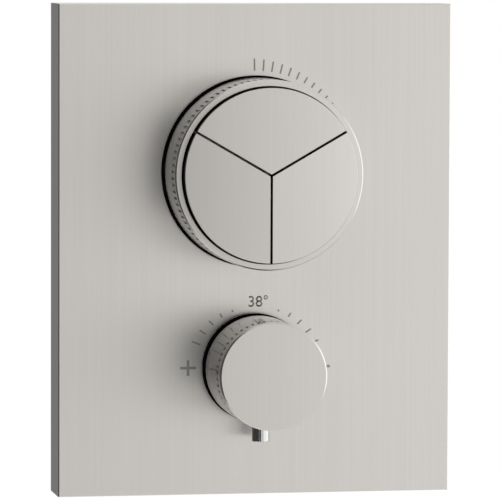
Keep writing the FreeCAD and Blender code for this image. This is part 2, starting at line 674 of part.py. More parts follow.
cartridge_front = "(manifold_front)"
flow_inside = f"({cartridge_front} - flow_cartridge_top)"
dog_back = f"({flow_inside} - flow_chamber)"
disc_back = f"({dog_back} - disc_height)"
flow_housing = turned("flow_cartridge", [
    ("spindle_radius + running_gap", flow_inside), ("flow_cartridge_bore", flow_inside),
    ("flow_cartridge_bore", f"{cartridge_front} - flow_cartridge_length"),
    ("flow_cartridge_radius", f"{cartridge_front} - flow_cartridge_length"),
    ("flow_cartridge_radius", cartridge_front), ("spindle_radius + running_gap", cartridge_front),
], z="dial_z")
flow_port_height = f"({flow_inside} - port_radius - port_setback)"
sketch = new_sketch(flow_housing, "port", "XZ_Plane")
draw_circle(sketch, "0", flow_port_height, "port_radius")
repeat_round(flow_housing, cut_away(flow_housing, sketch), "flow_ports")
top_seal_height = "(manifold_front - flow_cartridge_top / 2)"
seal_groove(flow_housing, "flow_cartridge_radius", top_seal_height)
flow_seals = [o_ring("flow_o_ring", "flow_cartridge_radius", top_seal_height, "0", "dial_z")]
turned("flow_spindle", [
    ("0", f"{dog_back} + face_gap"), ("flow_cartridge_bore - running_gap", f"{dog_back} + face_gap"),
    ("flow_cartridge_bore - running_gap", f"{dog_back} + spindle_dog_height"),
    ("spindle_radius", f"{dog_back} + spindle_dog_height"), ("spindle_radius", "spindle_end"),
    ("screw_radius", "spindle_end"),
    ("screw_radius", "driver_front - screw_head_height - fit_gap - driver_screw_length"),
    ("0", "driver_front - screw_head_height - fit_gap - driver_screw_length"),
], z="dial_z")
for name, front, radius in (
        ("moving_ceramic_disc", f"{dog_back} + face_gap", "flow_cartridge_bore - running_gap"),
        ("fixed_ceramic_disc", disc_back, "flow_cartridge_bore")):
    disc = turned(name, [("0", f"{front} - disc_height"), (radius, f"{front} - disc_height"),
                         (radius, front), ("0", front)], z="dial_z")
    sketch = new_sketch(disc, "port", offset=front)
    draw_circle(sketch, "0", "disc_port_circle", "disc_port")
    repeat_round(disc, cut_away(disc, sketch), "flow_ports")
sleeve("flow_cartridge_seal", "flow_cartridge_bore - ring_seal * 2", "flow_cartridge_bore",
       f"{cartridge_front} - flow_cartridge_length", f"{disc_back} - disc_height", z="dial_z")

# Three push buttons, each with its cap, stem, return spring, valve disc and cartridge ------

seat_back = "(manifold_front - outlet_cartridge_length)"
flange_front = "(manifold_front + outlet_flange_height)"


def draw_sector(sketch, angle, inset):
    """One third of the button disc, drawn in by half a slot and the inset on every side."""
    side = f"(button_slot / 2 + {inset})"
    radius = f"(button_radius - {inset})"
    low = f"({angle - 60} deg + asin({side} / {radius}))"
    high = f"({angle + 60} deg - asin({side} / {radius}))"
    apex = f"{side} / sin(60 deg)"
    points = [
        (f"{apex} * cos({angle} deg)", f"{apex} * sin({angle} deg)"),
        (f"{radius} * cos({low})", f"{radius} * sin({low})"),
        (f"{radius} * cos({high})", f"{radius} * sin({high})"),
    ]
    corners = [FreeCAD.Vector(value(x), value(y), 0) for x, y in points]
    to_radians = FreeCAD.Units.Quantity("1 deg").getValueAs("rad").Value
    circle = Part.Circle(FreeCAD.Vector(), FreeCAD.Vector(0, 0, 1), value(radius))
    sketch.addGeometry(Part.LineSegment(corners[0], corners[1]))
    sketch.addGeometry(Part.ArcOfCircle(circle, value(low) * to_radians, value(high) * to_radians))
    sketch.addGeometry(Part.LineSegment(corners[2], corners[0]))
    for one, one_end, other, other_end in ((0, 2, 1, 1), (1, 2, 2, 1), (2, 2, 0, 1)):
        sketch.addConstraint(Sketcher.Constraint("Coincident", one, one_end, other, other_end))
    sketch.addConstraint(Sketcher.Constraint("Coincident", 1, 3, -1, 1))
    fix_point(sketch, 0, 1, *points[0])
    fix_point(sketch, 0, 2, *points[1])
    fix_on_arc(sketch, 2, 1, *points[2])


for side, angle in BUTTONS.items():
    cap = new_body(f"button_{side}", z="dial_z")
    sketch = new_sketch(cap, "face", offset="button_back")
    draw_sector(sketch, angle, "0")
    pad(cap, sketch, "button_front - button_back")
    dress_edges(cap, "Fillet", "button_round",
                lambda edge: edge.Curve.TypeId == "Part::GeomCircle"
                and all(abs(v.Z - value("button_front")) < 1e-6 for v in edge.Vertexes))
    sketch = new_sketch(cap, "hollow", offset="button_back")
    draw_sector(sketch, angle, "button_skirt")
    cut_away(cap, sketch, "button_front - button_back - button_face", forward=True)

    at = {"x": f"outlet_circle * cos({angle} deg)", "z": f"dial_z + outlet_circle * sin({angle} deg)"}
    cap_inside = "(button_front - button_face)"
    turned(f"button_stem_{side}", [
        ("0", f"{seat_back} - face_gap"), ("stem_radius", f"{seat_back} - face_gap"),
        ("stem_radius", "guide_step - stem_collar_height - face_gap"),
        ("stem_collar", "guide_step - stem_collar_height - face_gap"),
        ("stem_collar", "guide_step - face_gap"), ("stem_radius", "guide_step - face_gap"),
        ("stem_radius", f"{cap_inside} - stem_head_height"),
        ("stem_head", f"{cap_inside} - stem_head_height"), ("stem_head", cap_inside),
        ("0", cap_inside),
    ], **at)
    sleeve(f"outlet_disc_{side}", "0", "valve_disc_radius",
           f"{seat_back} - face_gap - valve_disc_height", f"{seat_back} - face_gap", **at)
    coil_spring(f"button_spring_{side}", "spring_wire", "(stem_radius + guide_counterbore) / 2",
                "spring_coils", flange_front, "guide_step - stem_collar_height - face_gap", **at)
    cartridge = turned(f"outlet_cartridge_{side}", [
        ("stem_radius + running_gap", f"{flange_front} - seat_guide"),
        ("seat_radius", f"{flange_front} - seat_guide"), ("seat_radius", seat_back),
        ("outlet_bore - fit_gap", seat_back), ("outlet_bore - fit_gap", "manifold_front"),
        ("outlet_flange", "manifold_front"), ("outlet_flange", flange_front),
        ("stem_radius + running_gap", flange_front),
    ], **at)
    sketch = new_sketch(cartridge, "port", "XZ_Plane")
    draw_circle(sketch, "0", flow_port_height, "port_radius")
    repeat_round(cartridge, cut_away(cartridge, sketch), "outlet_ports")
    seal_groove(cartridge, "outlet_bore", top_seal_height)
    flow_seals.append(o_ring(f"outlet_o_ring_{side}", "outlet_bore", top_seal_height, *at.values()))
group("cartridge_o_rings", flow_seals)

# Button carrier: a plate behind the caps, with three tubes down to the cartridges ----------

carrier_front = "(button_back - button_travel - button_air)"
plate_back = f"({carrier_front} - carrier_plate)"
carrier_parts = [cylinder("button_carrier_plate", "ring_radius - ring_wall - carrier_gap", plate_back,
                          carrier_front, "0", "dial_z")]
carrier_bores = []
clamp_bores = [cylinder("clamp_centre", "spindle_radius + hole_air", "manifold_front",
                        f"{flange_front} + clamp_height", "0", "dial_z")]
manifold_bores = []
for side, angle in BUTTONS.items():
    at = (f"outlet_circle * cos({angle} deg)", f"dial_z + outlet_circle * sin({angle} deg)")
    carrier_parts.append(cylinder(f"tube_{side}", "guide_tube", flange_front, plate_back, *at))
    carrier_bores.append(cylinder(f"tube_guide_{side}", "stem_radius + running_gap", flange_front,
                                  carrier_front, *at))
    carrier_bores.append(cylinder(f"tube_room_{side}", "guide_counterbore", flange_front,
                                  "guide_step", *at))
    clamp_bores.append(cylinder(f"clamp_seat_{side}", "guide_tube", "manifold_front",
                                f"{flange_front} + clamp_height", *at))
    clamp_bores.append(cylinder(f"clamp_flange_{side}", "outlet_flange", "manifold_front",
                                flange_front, *at))
    manifold_bores.append(cylinder(f"outlet_bore_{side}", "outlet_bore",
                                   f"{seat_back} - outlet_chamber", "manifold_front", *at))
keep(cut("carrier_body", fuse("carrier_blank", carrier_parts), carrier_bores), "button_carrier")

# Clamp plate over the cartridges, with three screws ----------------------------------------

clamp_screws = []
between = 360 / len(BUTTONS) / 2
for number, angle in enumerate(BUTTONS.values()):
    turn = f"{angle - between:g} deg"
    at = (f"clamp_screw_circle * cos({turn})", f"dial_z + clamp_screw_circle * sin({turn})")
    clamp_bores.append(cylinder(f"clamp_hole_{number}", "screw_radius", "manifold_front",
                                f"{flange_front} + clamp_height", *at))
    manifold_bores.append(cylinder(f"clamp_tap_{number}", "screw_radius",
                                   "manifold_front - driver_screw_length", "manifold_front", *at))
    clamp_screws.append(pan_screw(f"clamp_screw_{number}", "screw_radius", "screw_head",
                                  "screw_head_height", f"{flange_front} + clamp_height",
                                  "outlet_flange_height + clamp_height + driver_screw_length", *at))
clamp = cylinder("clamp_disc", "manifold_radius", "manifold_front", f"{flange_front} + clamp_height",
                 "0", "dial_z")
keep(cut("clamp_body", clamp, clamp_bores), "clamp_plate")
group("clamp_screws", clamp_screws)

# Valve body: two cylinders on a foot, with stubs and drilled water ways --------------------

foot_back = bracket_front
foot_front = f"({foot_back} + foot_height)"
thermo_floor_height = "(thermo_front - thermo_nut_height - thermo_flange_height - thermo_length)"
mixed_height = f"({foot_back} + neck_setback + neck_radius)"
side_outlet_z = "(dial_z - outlet_circle / 2)"
chamber_back = f"({foot_back} + chamber_wall)"
blank = [
    cylinder("manifold", "manifold_radius", foot_back, "manifold_front", "0", "dial_z"),
    cylinder("thermo_housing", "thermo_radius", foot_back, "thermo_front", "0", "knob_z"),
    block("foot", "-foot_width / 2", "foot_width / 2", "-foot_bottom", "foot_top",
          foot_back, foot_front),
    pipe("inlet_stubs", "pipe_radius", "2 * stub_reach", "right",
         "-stub_reach", "inlet_height", "knob_z"),
    pipe("side_outlet_stubs", "pipe_radius", "2 * stub_reach", "right",
         "-stub_reach", "outlet_height", side_outlet_z),
    pipe("top_outlet_stub", "pipe_radius", "top_reach - dial_z", "up",
         "0", "outlet_height", "dial_z"),
    pipe("neck", "neck_radius", "dial_z - knob_z", "up", "0", mixed_height, "knob_z"),
]
drillings = manifold_bores + [
    cylinder("flow_bore", "flow_cartridge_radius", chamber_back, "manifold_front", "0", "dial_z"),
    cylinder("thermo_bore_main", "thermo_bore", chamber_back, "thermo_front", "0", "knob_z"),
    cylinder("thermo_flange_seat", "thermo_flange",
             "thermo_front - thermo_nut_height - thermo_flange_height", "thermo_front", "0", "knob_z"),
    cylinder("thermo_nut_seat", "thermo_nut_radius", "thermo_front - thermo_nut_height",
             "thermo_front", "0", "knob_z"),
    pipe("mixed_way", "waterway", "dial_z - knob_z", "up", "0", mixed_height, "knob_z"),
    pipe("top_way", "waterway", "top_reach - dial_z - outlet_circle", "up", "0", "outlet_height",
         "dial_z + outlet_circle"),
    pipe("top_thread", "thread_radius", "thread_length", "down", "0", "outlet_height", "top_reach"),
]
for angle in BUTTONS.values():
    drilling = pipe(f"cross_drilling_{angle}", "port_radius", "outlet_circle", "up", "0",
                    flow_port_height, "dial_z")
    drilling.Placement.Rotation = FreeCAD.Rotation(FreeCAD.Vector(0, 1, 0), 90 - angle)
    drillings.append(drilling)
hot_height = "inlet_height - port_offset"
cold_height = "inlet_height + port_offset"
INWARD = {"left": "right", "right": "left"}
for way, sign, port in (("left", -1, hot_height), ("right", 1, cold_height)):
    inward = INWARD[way]
    valve_depth = "thread_length + filter_height + check_valve_length"
    drillings += [
        pipe(f"inlet_thread_{way}", "thread_radius", "thread_length", inward,
             f"{sign} * stub_reach", "inlet_height", "knob_z"),
        pipe(f"check_valve_bore_{way}", "valve_bore", valve_depth, inward,
             f"{sign} * stub_reach", "inlet_height", "knob_z"),
        pipe(f"inlet_way_{way}", "waterway", f"stub_reach - ({valve_depth})", way, "0", port, "knob_z"),
        pipe(f"side_thread_{way}", "thread_radius", "thread_length", inward,
             f"{sign} * stub_reach", "outlet_height", side_outlet_z),
        pipe(f"side_way_{way}", "waterway", "stub_reach - outlet_circle * cos(30 deg)", inward,
             f"{sign} * stub_reach", "outlet_height", side_outlet_z),
    ]
foot_screws = []
bracket_holes = []
for number, (x, z) in enumerate(corners):
    at_x = f"{x} * (foot_width / 2 - foot_screw_inset)"
    at_z = "foot_top - foot_screw_inset" if z > 0 else "-foot_bottom + foot_screw_inset"
    drillings.append(cylinder(f"foot_hole_{number}", "m5_radius", foot_back, foot_front, at_x, at_z))
    for name, radius, hole_x, hole_z in (
            ("bracket_tap", "m5_radius", at_x, at_z),
            ("bracket_spigot", "pillar_spigot", f"{x} * pillar_x / 2", f"{z} * pillar_z / 2"),
            ("fixing_hole", "fixing_hole", f"{x} * fixing_x / 2", f"{z} * fixing_z / 2")):
        bracket_holes.append(cylinder(f"{name}_{number}", radius, bracket_back, bracket_front,
                                      hole_x, hole_z))
    foot_screws.append(pan_screw(f"foot_screw_{number}", "m5_radius", "m5_head", "m5_head_height",
                                 foot_front, "foot_height + bracket_sheet", at_x, at_z))
keep(cut("valve_body_casting", fuse("valve_body_blank", blank), drillings), "valve_body")

# Wall bracket ------------------------------------------------------------------------------

bracket = block("bracket_blank", "-bracket_width / 2", "bracket_width / 2", "-bracket_height / 2",
                "bracket_height / 2", bracket_back, bracket_front)
keep(cut("bracket_body", bracket, bracket_holes), "wall_bracket")
group("body_screws", foot_screws)

# Check valves and filters in the inlets ----------------------------------------------------

check_valves = []
filters = []
for way, sign in (("left", -1), ("right", 1)):
    inward = INWARD[way]
    start = f"{sign} * (stub_reach - thread_length - filter_height)"
    case = pipe(f"check_valve_case_{way}", "valve_bore - fit_gap", "check_valve_length", inward, start,
                "inlet_height", "knob_z")
    bore = pipe(f"check_valve_way_{way}", "check_valve_bore", "check_valve_length", inward, start,
                "inlet_height", "knob_z")
    check_valves.append(cut(f"check_valve_{way}", case, [bore]))
    gauze = pipe(f"filter_disc_{way}", "valve_bore - fit_gap", "filter_height", inward,
                 f"{sign} * (stub_reach - thread_length)", "inlet_height", "knob_z")
    filters.append(gauze)
group("check_valves", check_valves)
group("inlet_filters", filters)

# Thermostatic cartridge --------------------------------------------------------------------

nut_back = "(thermo_front - thermo_nut_height)"
flange_back = f"({nut_back} - thermo_flange_height)"
thermo_top = f"({nut_back} - thermo_cap)"
thermo_case = turned("thermostatic_cartridge", [
    ("spindle_radius + running_gap", thermo_top), ("thermo_inner", thermo_top),
    ("thermo_inner", f"{thermo_floor_height} + thermo_floor"),
    ("wax_radius + wax_gap", f"{thermo_floor_height} + thermo_floor"),
    ("wax_radius + wax_gap", thermo_floor_height), ("thermo_bore - fit_gap", thermo_floor_height),
    ("thermo_bore - fit_gap", flange_back), ("thermo_flange", flange_back),
    ("thermo_flange", nut_back), ("thermo_neck", nut_back), ("thermo_neck", "thermo_neck_front"),
    ("spindle_radius + running_gap", "thermo_neck_front"),
], z="knob_z")
for name, port_height in (("hot", hot_height), ("cold", cold_height)):
    sketch = new_sketch(thermo_case, name + "_port", "XZ_Plane")
    draw_circle(sketch, "0", port_height, "port_radius")
    repeat_round(thermo_case, cut_away(thermo_case, sketch), "thermo_ports")
thermo_seals = []
for number, step in enumerate((-2, 0, 2)):
    height = f"(inlet_height + {step} * port_offset)"
    seal_groove(thermo_case, "thermo_bore", height)
    thermo_seals.append(o_ring(f"thermo_o_ring_{number}", "thermo_bore", height, "0", "knob_z"))
group("thermostat_o_rings", thermo_seals)
sleeve("cartridge_nut", "thermo_neck + fit_gap", "thermo_nut_radius", nut_back, "thermo_front",
       z="knob_z")
sleeve("stop_ring", "thermo_neck", "thermo_neck + stop_ring_wall",
       "thermo_neck_front - stop_ring_height", "thermo_neck_front", z="knob_z")

shuttle_outer = "(thermo_inner - running_gap)"
spindle_flange = f"({thermo_top} - spindle_flange_height)"
nut_room = "(regulator_lead * knob_turn / 360 + regulator_air)"
regulator_front = f"({spindle_flange} - {nut_room})"
thread_end = f"({regulator_front} - regulator_length)"
regulator_back = f"({thread_end} - regulator_floor)"
turned("temperature_spindle", [
    ("0", f"{thread_end} + {nut_room}"), ("regulator_thread", f"{thread_end} + {nut_room}"),
    ("regulator_thread", spindle_flange), ("thermo_inner / 2", spindle_flange),
    ("thermo_inner / 2", f"{thermo_top} - face_gap"), ("spindle_radius", f"{thermo_top} - face_gap"),
    ("spindle_radius", "temperature_spindle_end"), ("screw_radius", "temperature_spindle_end"),
    ("screw_radius", "insert_front - screw_head_height - insert_screw_length"),
    ("0", "insert_front - screw_head_height - insert_screw_length"),
], z="knob_z")
turned("regulating_nut", [
    ("0", regulator_back), (shuttle_outer, regulator_back), (shuttle_outer, regulator_front),
    ("regulator_thread + running_gap", regulator_front),
    ("regulator_thread + running_gap", thread_end), ("0", thread_end),
], z="knob_z")
wax_back = f"({regulator_back} - wax_length)"
sleeve("wax_element", "0", "wax_radius", wax_back, regulator_back, z="knob_z")
shuttle_middle = "inlet_height"
turned("shuttle", [
    ("wax_radius", f"{shuttle_middle} - shuttle_web / 2"),
    (f"{shuttle_outer} - shuttle_wall", f"{shuttle_middle} - shuttle_web / 2"),
    (f"{shuttle_outer} - shuttle_wall", f"{shuttle_middle} - shuttle_height / 2"),
    (shuttle_outer, f"{shuttle_middle} - shuttle_height / 2"),
    (shuttle_outer, f"{shuttle_middle} + shuttle_height / 2"),
    (f"{shuttle_outer} - shuttle_wall", f"{shuttle_middle} + shuttle_height / 2"),
    (f"{shuttle_outer} - shuttle_wall", f"{shuttle_middle} + shuttle_web / 2"),
    ("wax_radius", f"{shuttle_middle} + shuttle_web / 2"),
], z="knob_z")
coil_spring("return_spring", "return_spring_wire", "(wax_radius + thermo_inner) / 2",
            "return_spring_coils", f"{thermo_floor_height} + thermo_floor",
            f"{shuttle_middle} - shuttle_web / 2", z="knob_z")

# Temperature knob and what is inside it ----------------------------------------------------

knob = turned("temperature_knob", [
    ("knob_radius - knob_wall", "knob_back"), ("knob_radius", "knob_back"),
    ("knob_radius", "knob_line - line_width / 2"),
    ("knob_radius - line_depth", "knob_line - line_width / 2"),
    ("knob_radius - line_depth", "knob_line + line_width / 2"),
    ("knob_radius", "knob_line + line_width / 2"),
    ("knob_radius", "knob_front - knob_bevel"), ("knob_radius - knob_bevel", "knob_front"),
    ("0", "knob_front"), ("0", "knob_front - knob_face"),
    ("knob_radius - knob_wall", "knob_front - knob_face"),
], z="knob_z")
sketch = new_sketch(knob, "pin_hole", "XZ_Plane")
draw_circle(sketch, "0", "pin_height", "pin_radius + running_gap")
cut_away(knob, sketch, forward=True)
side_cut(knob, "notch", "knob_radius", "notch_depth",
         lambda sketch: draw_rectangle(sketch, "-knob_notch_width / 2", "knob_notch_back",
                                       "knob_notch_width / 2", "knob_notch_front"), "knob_notches")

insert = turned("knob_insert", [
    ("spindle_radius", "insert_hub_back"), ("insert_hub", "insert_hub_back"),
    ("insert_hub", "insert_back"), ("knob_radius - knob_wall", "insert_back"),
    ("knob_radius - knob_wall", "insert_front"), ("screw_head + fit_gap", "insert_front"),
    ("screw_head + fit_gap", "insert_front - screw_head_height"),
    ("screw_radius", "insert_front - screw_head_height"),
    ("screw_radius", "temperature_spindle_end"), ("spindle_radius", "temperature_spindle_end"),
], z="knob_z")
pin_flange_end = "(sqrt((knob_radius - knob_wall)^2 - pin_flange^2) - fit_gap)"
pin_flange_back = f"({pin_flange_end} - pin_flange_height)"
closed_spring = "(2 * pin_spring_wire * (pin_spring_coils + 1))"
pin_wall_outer = f"({pin_flange_back} - pin_travel - {closed_spring})"
pin_wall_inner = f"({pin_wall_outer} - pin_wall)"
sketch = new_sketch(insert, "pin_wall", offset="pin_height - pin_flange")
draw_rectangle(sketch, "-pin_wall_width / 2", f"-{pin_wall_outer}",
               "pin_wall_width / 2", f"-{pin_wall_inner}")
pad(insert, sketch, "insert_back - pin_height + pin_flange")
sketch = new_sketch(insert, "pin_guide", "XZ_Plane")
draw_circle(sketch, "0", "pin_height", "pin_stem + running_gap")
cut_away(insert, sketch, forward=True)
keep(pan_screw("insert_screw_cut", "screw_radius", "screw_head", "screw_head_height",
               "insert_front - screw_head_height", "insert_screw_length", "0", "knob_z"),
     "insert_screw")

pin_stem_end = f"({pin_wall_inner} - pin_stem_overhang)"
turned("safety_button", [
    ("0", pin_stem_end), ("pin_stem", pin_stem_end),
    ("pin_stem", pin_flange_back), ("pin_flange", pin_flange_back),
    ("pin_flange", pin_flange_end), ("pin_radius", pin_flange_end),
    ("pin_radius", "pin_end - pin_bevel"), ("pin_radius - pin_bevel", "pin_end"),
    ("0", "pin_end"),
], z="knob_z", height="pin_height", facing="down")
coil_spring("safety_spring", "pin_spring_wire", "(pin_stem + pin_flange) / 2", "pin_spring_coils",
            pin_wall_outer, pin_flange_back, z="knob_z", height="pin_height", facing="down")

# Checks and export -------------------------------------------------------------------------

document.recompute()
for thing in document.Objects:
    if "Invalid" in thing.State or "Error" in thing.State:
        raise RuntimeError(f"{thing.Label} is in state {thing.State}")
for piece in pieces:
    if piece.Shape.isNull() or not piece.Shape.isValid() or not piece.Shape.Solids:
        raise RuntimeError(f"{piece.Label} has no valid solid")
os.makedirs("parts", exist_ok=True)
for piece in pieces:
    piece.Shape.exportStep(f"parts/{piece.Label}.step")
    print(f"{piece.Label}: {len(piece.Shape.Solids)} solid(s), {piece.Shape.Volume:.0f} mm3")
print(len(pieces), "pieces")
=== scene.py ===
import math

import bmesh
import bpy
from mathutils import Matrix, Vector


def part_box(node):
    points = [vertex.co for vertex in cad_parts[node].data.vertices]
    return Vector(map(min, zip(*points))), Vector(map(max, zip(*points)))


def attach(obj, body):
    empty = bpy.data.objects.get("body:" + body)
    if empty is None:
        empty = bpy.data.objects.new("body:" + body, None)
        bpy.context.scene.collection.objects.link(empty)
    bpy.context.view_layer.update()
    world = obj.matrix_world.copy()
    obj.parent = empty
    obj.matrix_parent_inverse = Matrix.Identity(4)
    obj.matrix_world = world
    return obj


# A concealed thermostatic shower valve, put together from the wall outwards: bracket and valve
# body, cartridges, plate carrier, faceplate with its marks, then the flow ring, the three push
# buttons and the temperature knob. Metres, +Z up, the room on the -Y side.
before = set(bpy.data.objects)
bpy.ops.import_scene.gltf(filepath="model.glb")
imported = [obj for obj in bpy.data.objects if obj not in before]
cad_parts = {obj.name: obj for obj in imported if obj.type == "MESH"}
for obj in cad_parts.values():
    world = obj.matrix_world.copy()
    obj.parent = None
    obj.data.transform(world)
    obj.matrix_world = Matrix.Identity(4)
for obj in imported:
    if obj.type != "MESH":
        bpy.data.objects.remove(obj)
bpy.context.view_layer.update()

# Wall bracket, pillars and steel screws --------------------------------------------------------
# The bracket is a laser-cut steel sheet that carries four riveted pillars, and pan-head screws
# hold the valve body and the plate carrier to them. All of it is zinc plated and passivated,
# which leaves a pale, faintly blue and cloudy skin.


def add(tree, kind, inputs=None, **settings):
    """Adds a node to a tree. Each input is a number, a colour or another node's output."""
    made = tree.nodes.new(kind)
    for name, setting in settings.items():
        setattr(made, name, setting)
    for name, given in (inputs or {}).items():
        if isinstance(given, bpy.types.NodeSocket):
            tree.links.new(given, made.inputs[name])
        else:
            made.inputs[name].default_value = given
    return made


def sums(tree, operation, *terms):
    """The output of a Math node on one, two or three terms."""
    return add(tree, "ShaderNodeMath", dict(enumerate(terms)), operation=operation).outputs[0]


def new_group(name, inputs, outputs):
    """A shader group with named number sockets: its tree, its inputs and its outputs."""
    tree = bpy.data.node_groups.new(name, "ShaderNodeTree")
    for in_out, labels in (("INPUT", inputs), ("OUTPUT", outputs)):
        for label in labels:
            tree.interface.new_socket(label, in_out=in_out, socket_type="NodeSocketFloat")
    return tree, add(tree, "NodeGroupInput").outputs, add(tree, "NodeGroupOutput").inputs


def finish(name, metallic=1.0, **constants):
    """A new material's tree and its main shader, with what is constant set on the shader."""
    material = bpy.data.materials.new(name)
    material.use_nodes = True
    shader = material.node_tree.nodes["Principled BSDF"]
    shader.inputs["Metallic"].default_value = metallic
    for label, amount in constants.items():
        shader.inputs[label.replace("_", " ")].default_value = amount
    return material.node_tree, shader


def tint(tree, shader, dark, pale, shade):
    """Lets the base colour run from dark to pale with a shade of 0 to 1."""
    mixed = add(tree, "ShaderNodeMix", {0: shade, 6: (*dark, 1), 7: (*pale, 1)}, data_type="RGBA")
    tree.links.new(mixed.outputs[2], shader.inputs["Base Color"])


def roughen(tree, shader, smooth, rough, shade):
    """Lets the roughness run from smooth to rough with a shade of 0 to 1."""
    spread = add(tree, "ShaderNodeMapRange", {"Value": shade, "To Min": smooth, "To Max": rough})
    tree.links.new(spread.outputs[0], shader.inputs["Roughness"])


def relief(tree, shader, height, depth):
    """Raises the surface by a depth in metres where the height is 1."""
    bump = add(tree, "ShaderNodeBump", {"Height": height, "Distance": depth, "Strength": 1.0})
    tree.links.new(bump.outputs[0], shader.inputs["Normal"])


def material_of(tree):
    return next(material for material in bpy.data.materials if material.node_tree == tree)


def dress(tree, *nodes):
    """Gives CAD nodes the material that a tree belongs to."""
    for node in nodes:
        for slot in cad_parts[node].material_slots:
            slot.material = material_of(tree)


# Clouds and specks that have no direction, as on plated, cast or moulded skins.
mottle, given, out = new_group("mottle", ["Clouds", "Specks"], ["Cloud", "Speck"])
place = add(mottle, "ShaderNodeTexCoord").outputs["Object"]
for size, detail, label in (("Clouds", 4.0, "Cloud"), ("Specks", 2.0, "Speck")):
    noise = add(mottle, "ShaderNodeTexNoise",
                {"Vector": place, "Scale": given[size], "Detail": detail})
    mottle.links.new(noise.outputs["Fac"], out[label])


def mottled(tree, clouds, specks):
    """The cloud and speck outputs of a mottle group with its own sizes, per metre."""
    sizes = {"Clouds": clouds, "Specks": specks}
    return add(tree, "ShaderNodeGroup", sizes, node_tree=mottle).outputs


def zinc_plate(name, clouds):
    tree, shader = finish(name)
    cloud, speck = mottled(tree, clouds, 2500.0)
    tint(tree, shader, (0.50, 0.53, 0.56), (0.70, 0.71, 0.70), cloud)
    roughen(tree, shader, 0.28, 0.50, cloud)
    relief(tree, shader, speck, 0.00002)
    return tree


dress(zinc_plate("zinc_plated_sheet", 45.0), "wall_bracket", "plate_carrier")
dress(zinc_plate("zinc_plated_steel", 150.0), "pillars", "carrier_screws", "body_screws",
      "clamp_screws", "driver_screw", "insert_screw", "grub_screws")

# Valve body ------------------------------------------------------------------------------------
# One hot-pressed brass casting: two cylinders on a foot, two inlets and three outlets. The skin
# is left as it came from the die, while the stub ends and the two front faces are machined.

SIDE_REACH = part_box("valve_body")[1].x
TOP_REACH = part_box("valve_body")[1].z
MANIFOLD_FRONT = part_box("clamp_plate")[1].y
SKIM = 0.0003

valve_brass, shader = finish("cast_brass")
cloud, speck = mottled(valve_brass, 70.0, 1400.0)
x, y, z = add(valve_brass, "ShaderNodeSeparateXYZ",
              {0: add(valve_brass, "ShaderNodeTexCoord").outputs["Object"]}).outputs
stub_faces = sums(valve_brass, "GREATER_THAN", sums(valve_brass, "ABSOLUTE", x), SIDE_REACH - SKIM)
top_face = sums(valve_brass, "GREATER_THAN", z, TOP_REACH - SKIM)
front_faces = sums(valve_brass, "LESS_THAN", y, MANIFOLD_FRONT + SKIM)
stub_ends = sums(valve_brass, "MAXIMUM", stub_faces, top_face)
machined = sums(valve_brass, "MAXIMUM", stub_ends, front_faces)
skin = sums(valve_brass, "SUBTRACT", 1.0, machined)
tint(valve_brass, shader, (0.50, 0.34, 0.15), (0.70, 0.51, 0.26),
     sums(valve_brass, "MAXIMUM", cloud, machined))
roughen(valve_brass, shader, 0.24, 0.55, sums(valve_brass, "MULTIPLY", skin, cloud))
relief(valve_brass, shader, sums(valve_brass, "MULTIPLY", skin, speck), 0.00012)
dress(valve_brass, "valve_body")

# Cartridges and turned parts -------------------------------------------------------------------
# The flow cartridge, the three outlet cartridges, the thermostatic cartridge, their clamp plate,
# nut and spindles are turned from brass bar, so fine tool marks run round each piece's axis.


def axis_of(node):
    """The height of the axis that a round piece turns on."""
    low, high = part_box(node)
    return (low.z + high.z) / 2


DIAL_HEIGHT = axis_of("flow_ring")
KNOB_HEIGHT = axis_of("temperature_knob")
TOOL_MARKS = 2200.0

turning, given, out = new_group("turning", ["Axis height"], ["Ring"])
x, y, z = add(turning, "ShaderNodeSeparateXYZ",
              {0: add(turning, "ShaderNodeTexCoord").outputs["Object"]}).outputs
above = sums(turning, "SUBTRACT", z, given["Axis height"])
radius = sums(turning, "SQRT", sums(turning, "ADD", sums(turning, "MULTIPLY", x, x),
                                    sums(turning, "MULTIPLY", above, above)))
track = add(turning, "ShaderNodeCombineXYZ", {"X": radius, "Y": y})
rings = add(turning, "ShaderNodeTexNoise",
            {"Vector": track.outputs[0], "Scale": TOOL_MARKS, "Detail": 3.0, "Roughness": 0.7})
turning.links.new(rings.outputs["Fac"], out["Ring"])


def turned_brass(name, axis_height):
    """Brass with tool marks round the axis of one of the dials."""
    tree, shader = finish(name)
    ring = add(tree, "ShaderNodeGroup", {"Axis height": axis_height}, node_tree=turning).outputs[0]
    tint(tree, shader, (0.66, 0.47, 0.20), (0.84, 0.64, 0.32), ring)
    roughen(tree, shader, 0.16, 0.34, ring)
    relief(tree, shader, ring, 0.00001)
    return tree


dress(turned_brass("turned_brass_upper", DIAL_HEIGHT), "flow_cartridge", "flow_spindle",
      "clamp_plate", "outlet_cartridge_top", "outlet_cartridge_lower_left",
      "outlet_cartridge_lower_right")
dress(turned_brass("turned_brass_lower", KNOB_HEIGHT), "thermostatic_cartridge", "cartridge_nut",
      "temperature_spindle")

# Pipe threads ----------------------------------------------------------------------------------
# The five G 1/2 threads of the valve body. Its bores are plain, with the thread's minor radius,
# so a helical ridge with the thread's pitch stands a little proud of each bore's wall.

BORE_RADIUS = 0.0093
RIDGE_SINK = 0.00004
RIDGE_HEIGHT = 0.00045
RIDGE_HALF_WIDTH = 0.00055
THREAD_PITCH = 0.001814
THREAD_TURNS = 6
THREAD_SETBACK = 0.0013
STEPS_PER_TURN = 48
INLET_DEPTH = -0.027
OUTLET_DEPTH = -0.033
SIDE_OUTLET_HEIGHT = 0.0219


def new_object(name, mesh, material):
    """Turns a bmesh into a named object with a material."""
    data = bpy.data.meshes.new(name)
    mesh.to_mesh(data)
    mesh.free()
    data.materials.append(material)
    made = bpy.data.objects.new(name, data)
    bpy.context.scene.collection.objects.link(made)
    return made


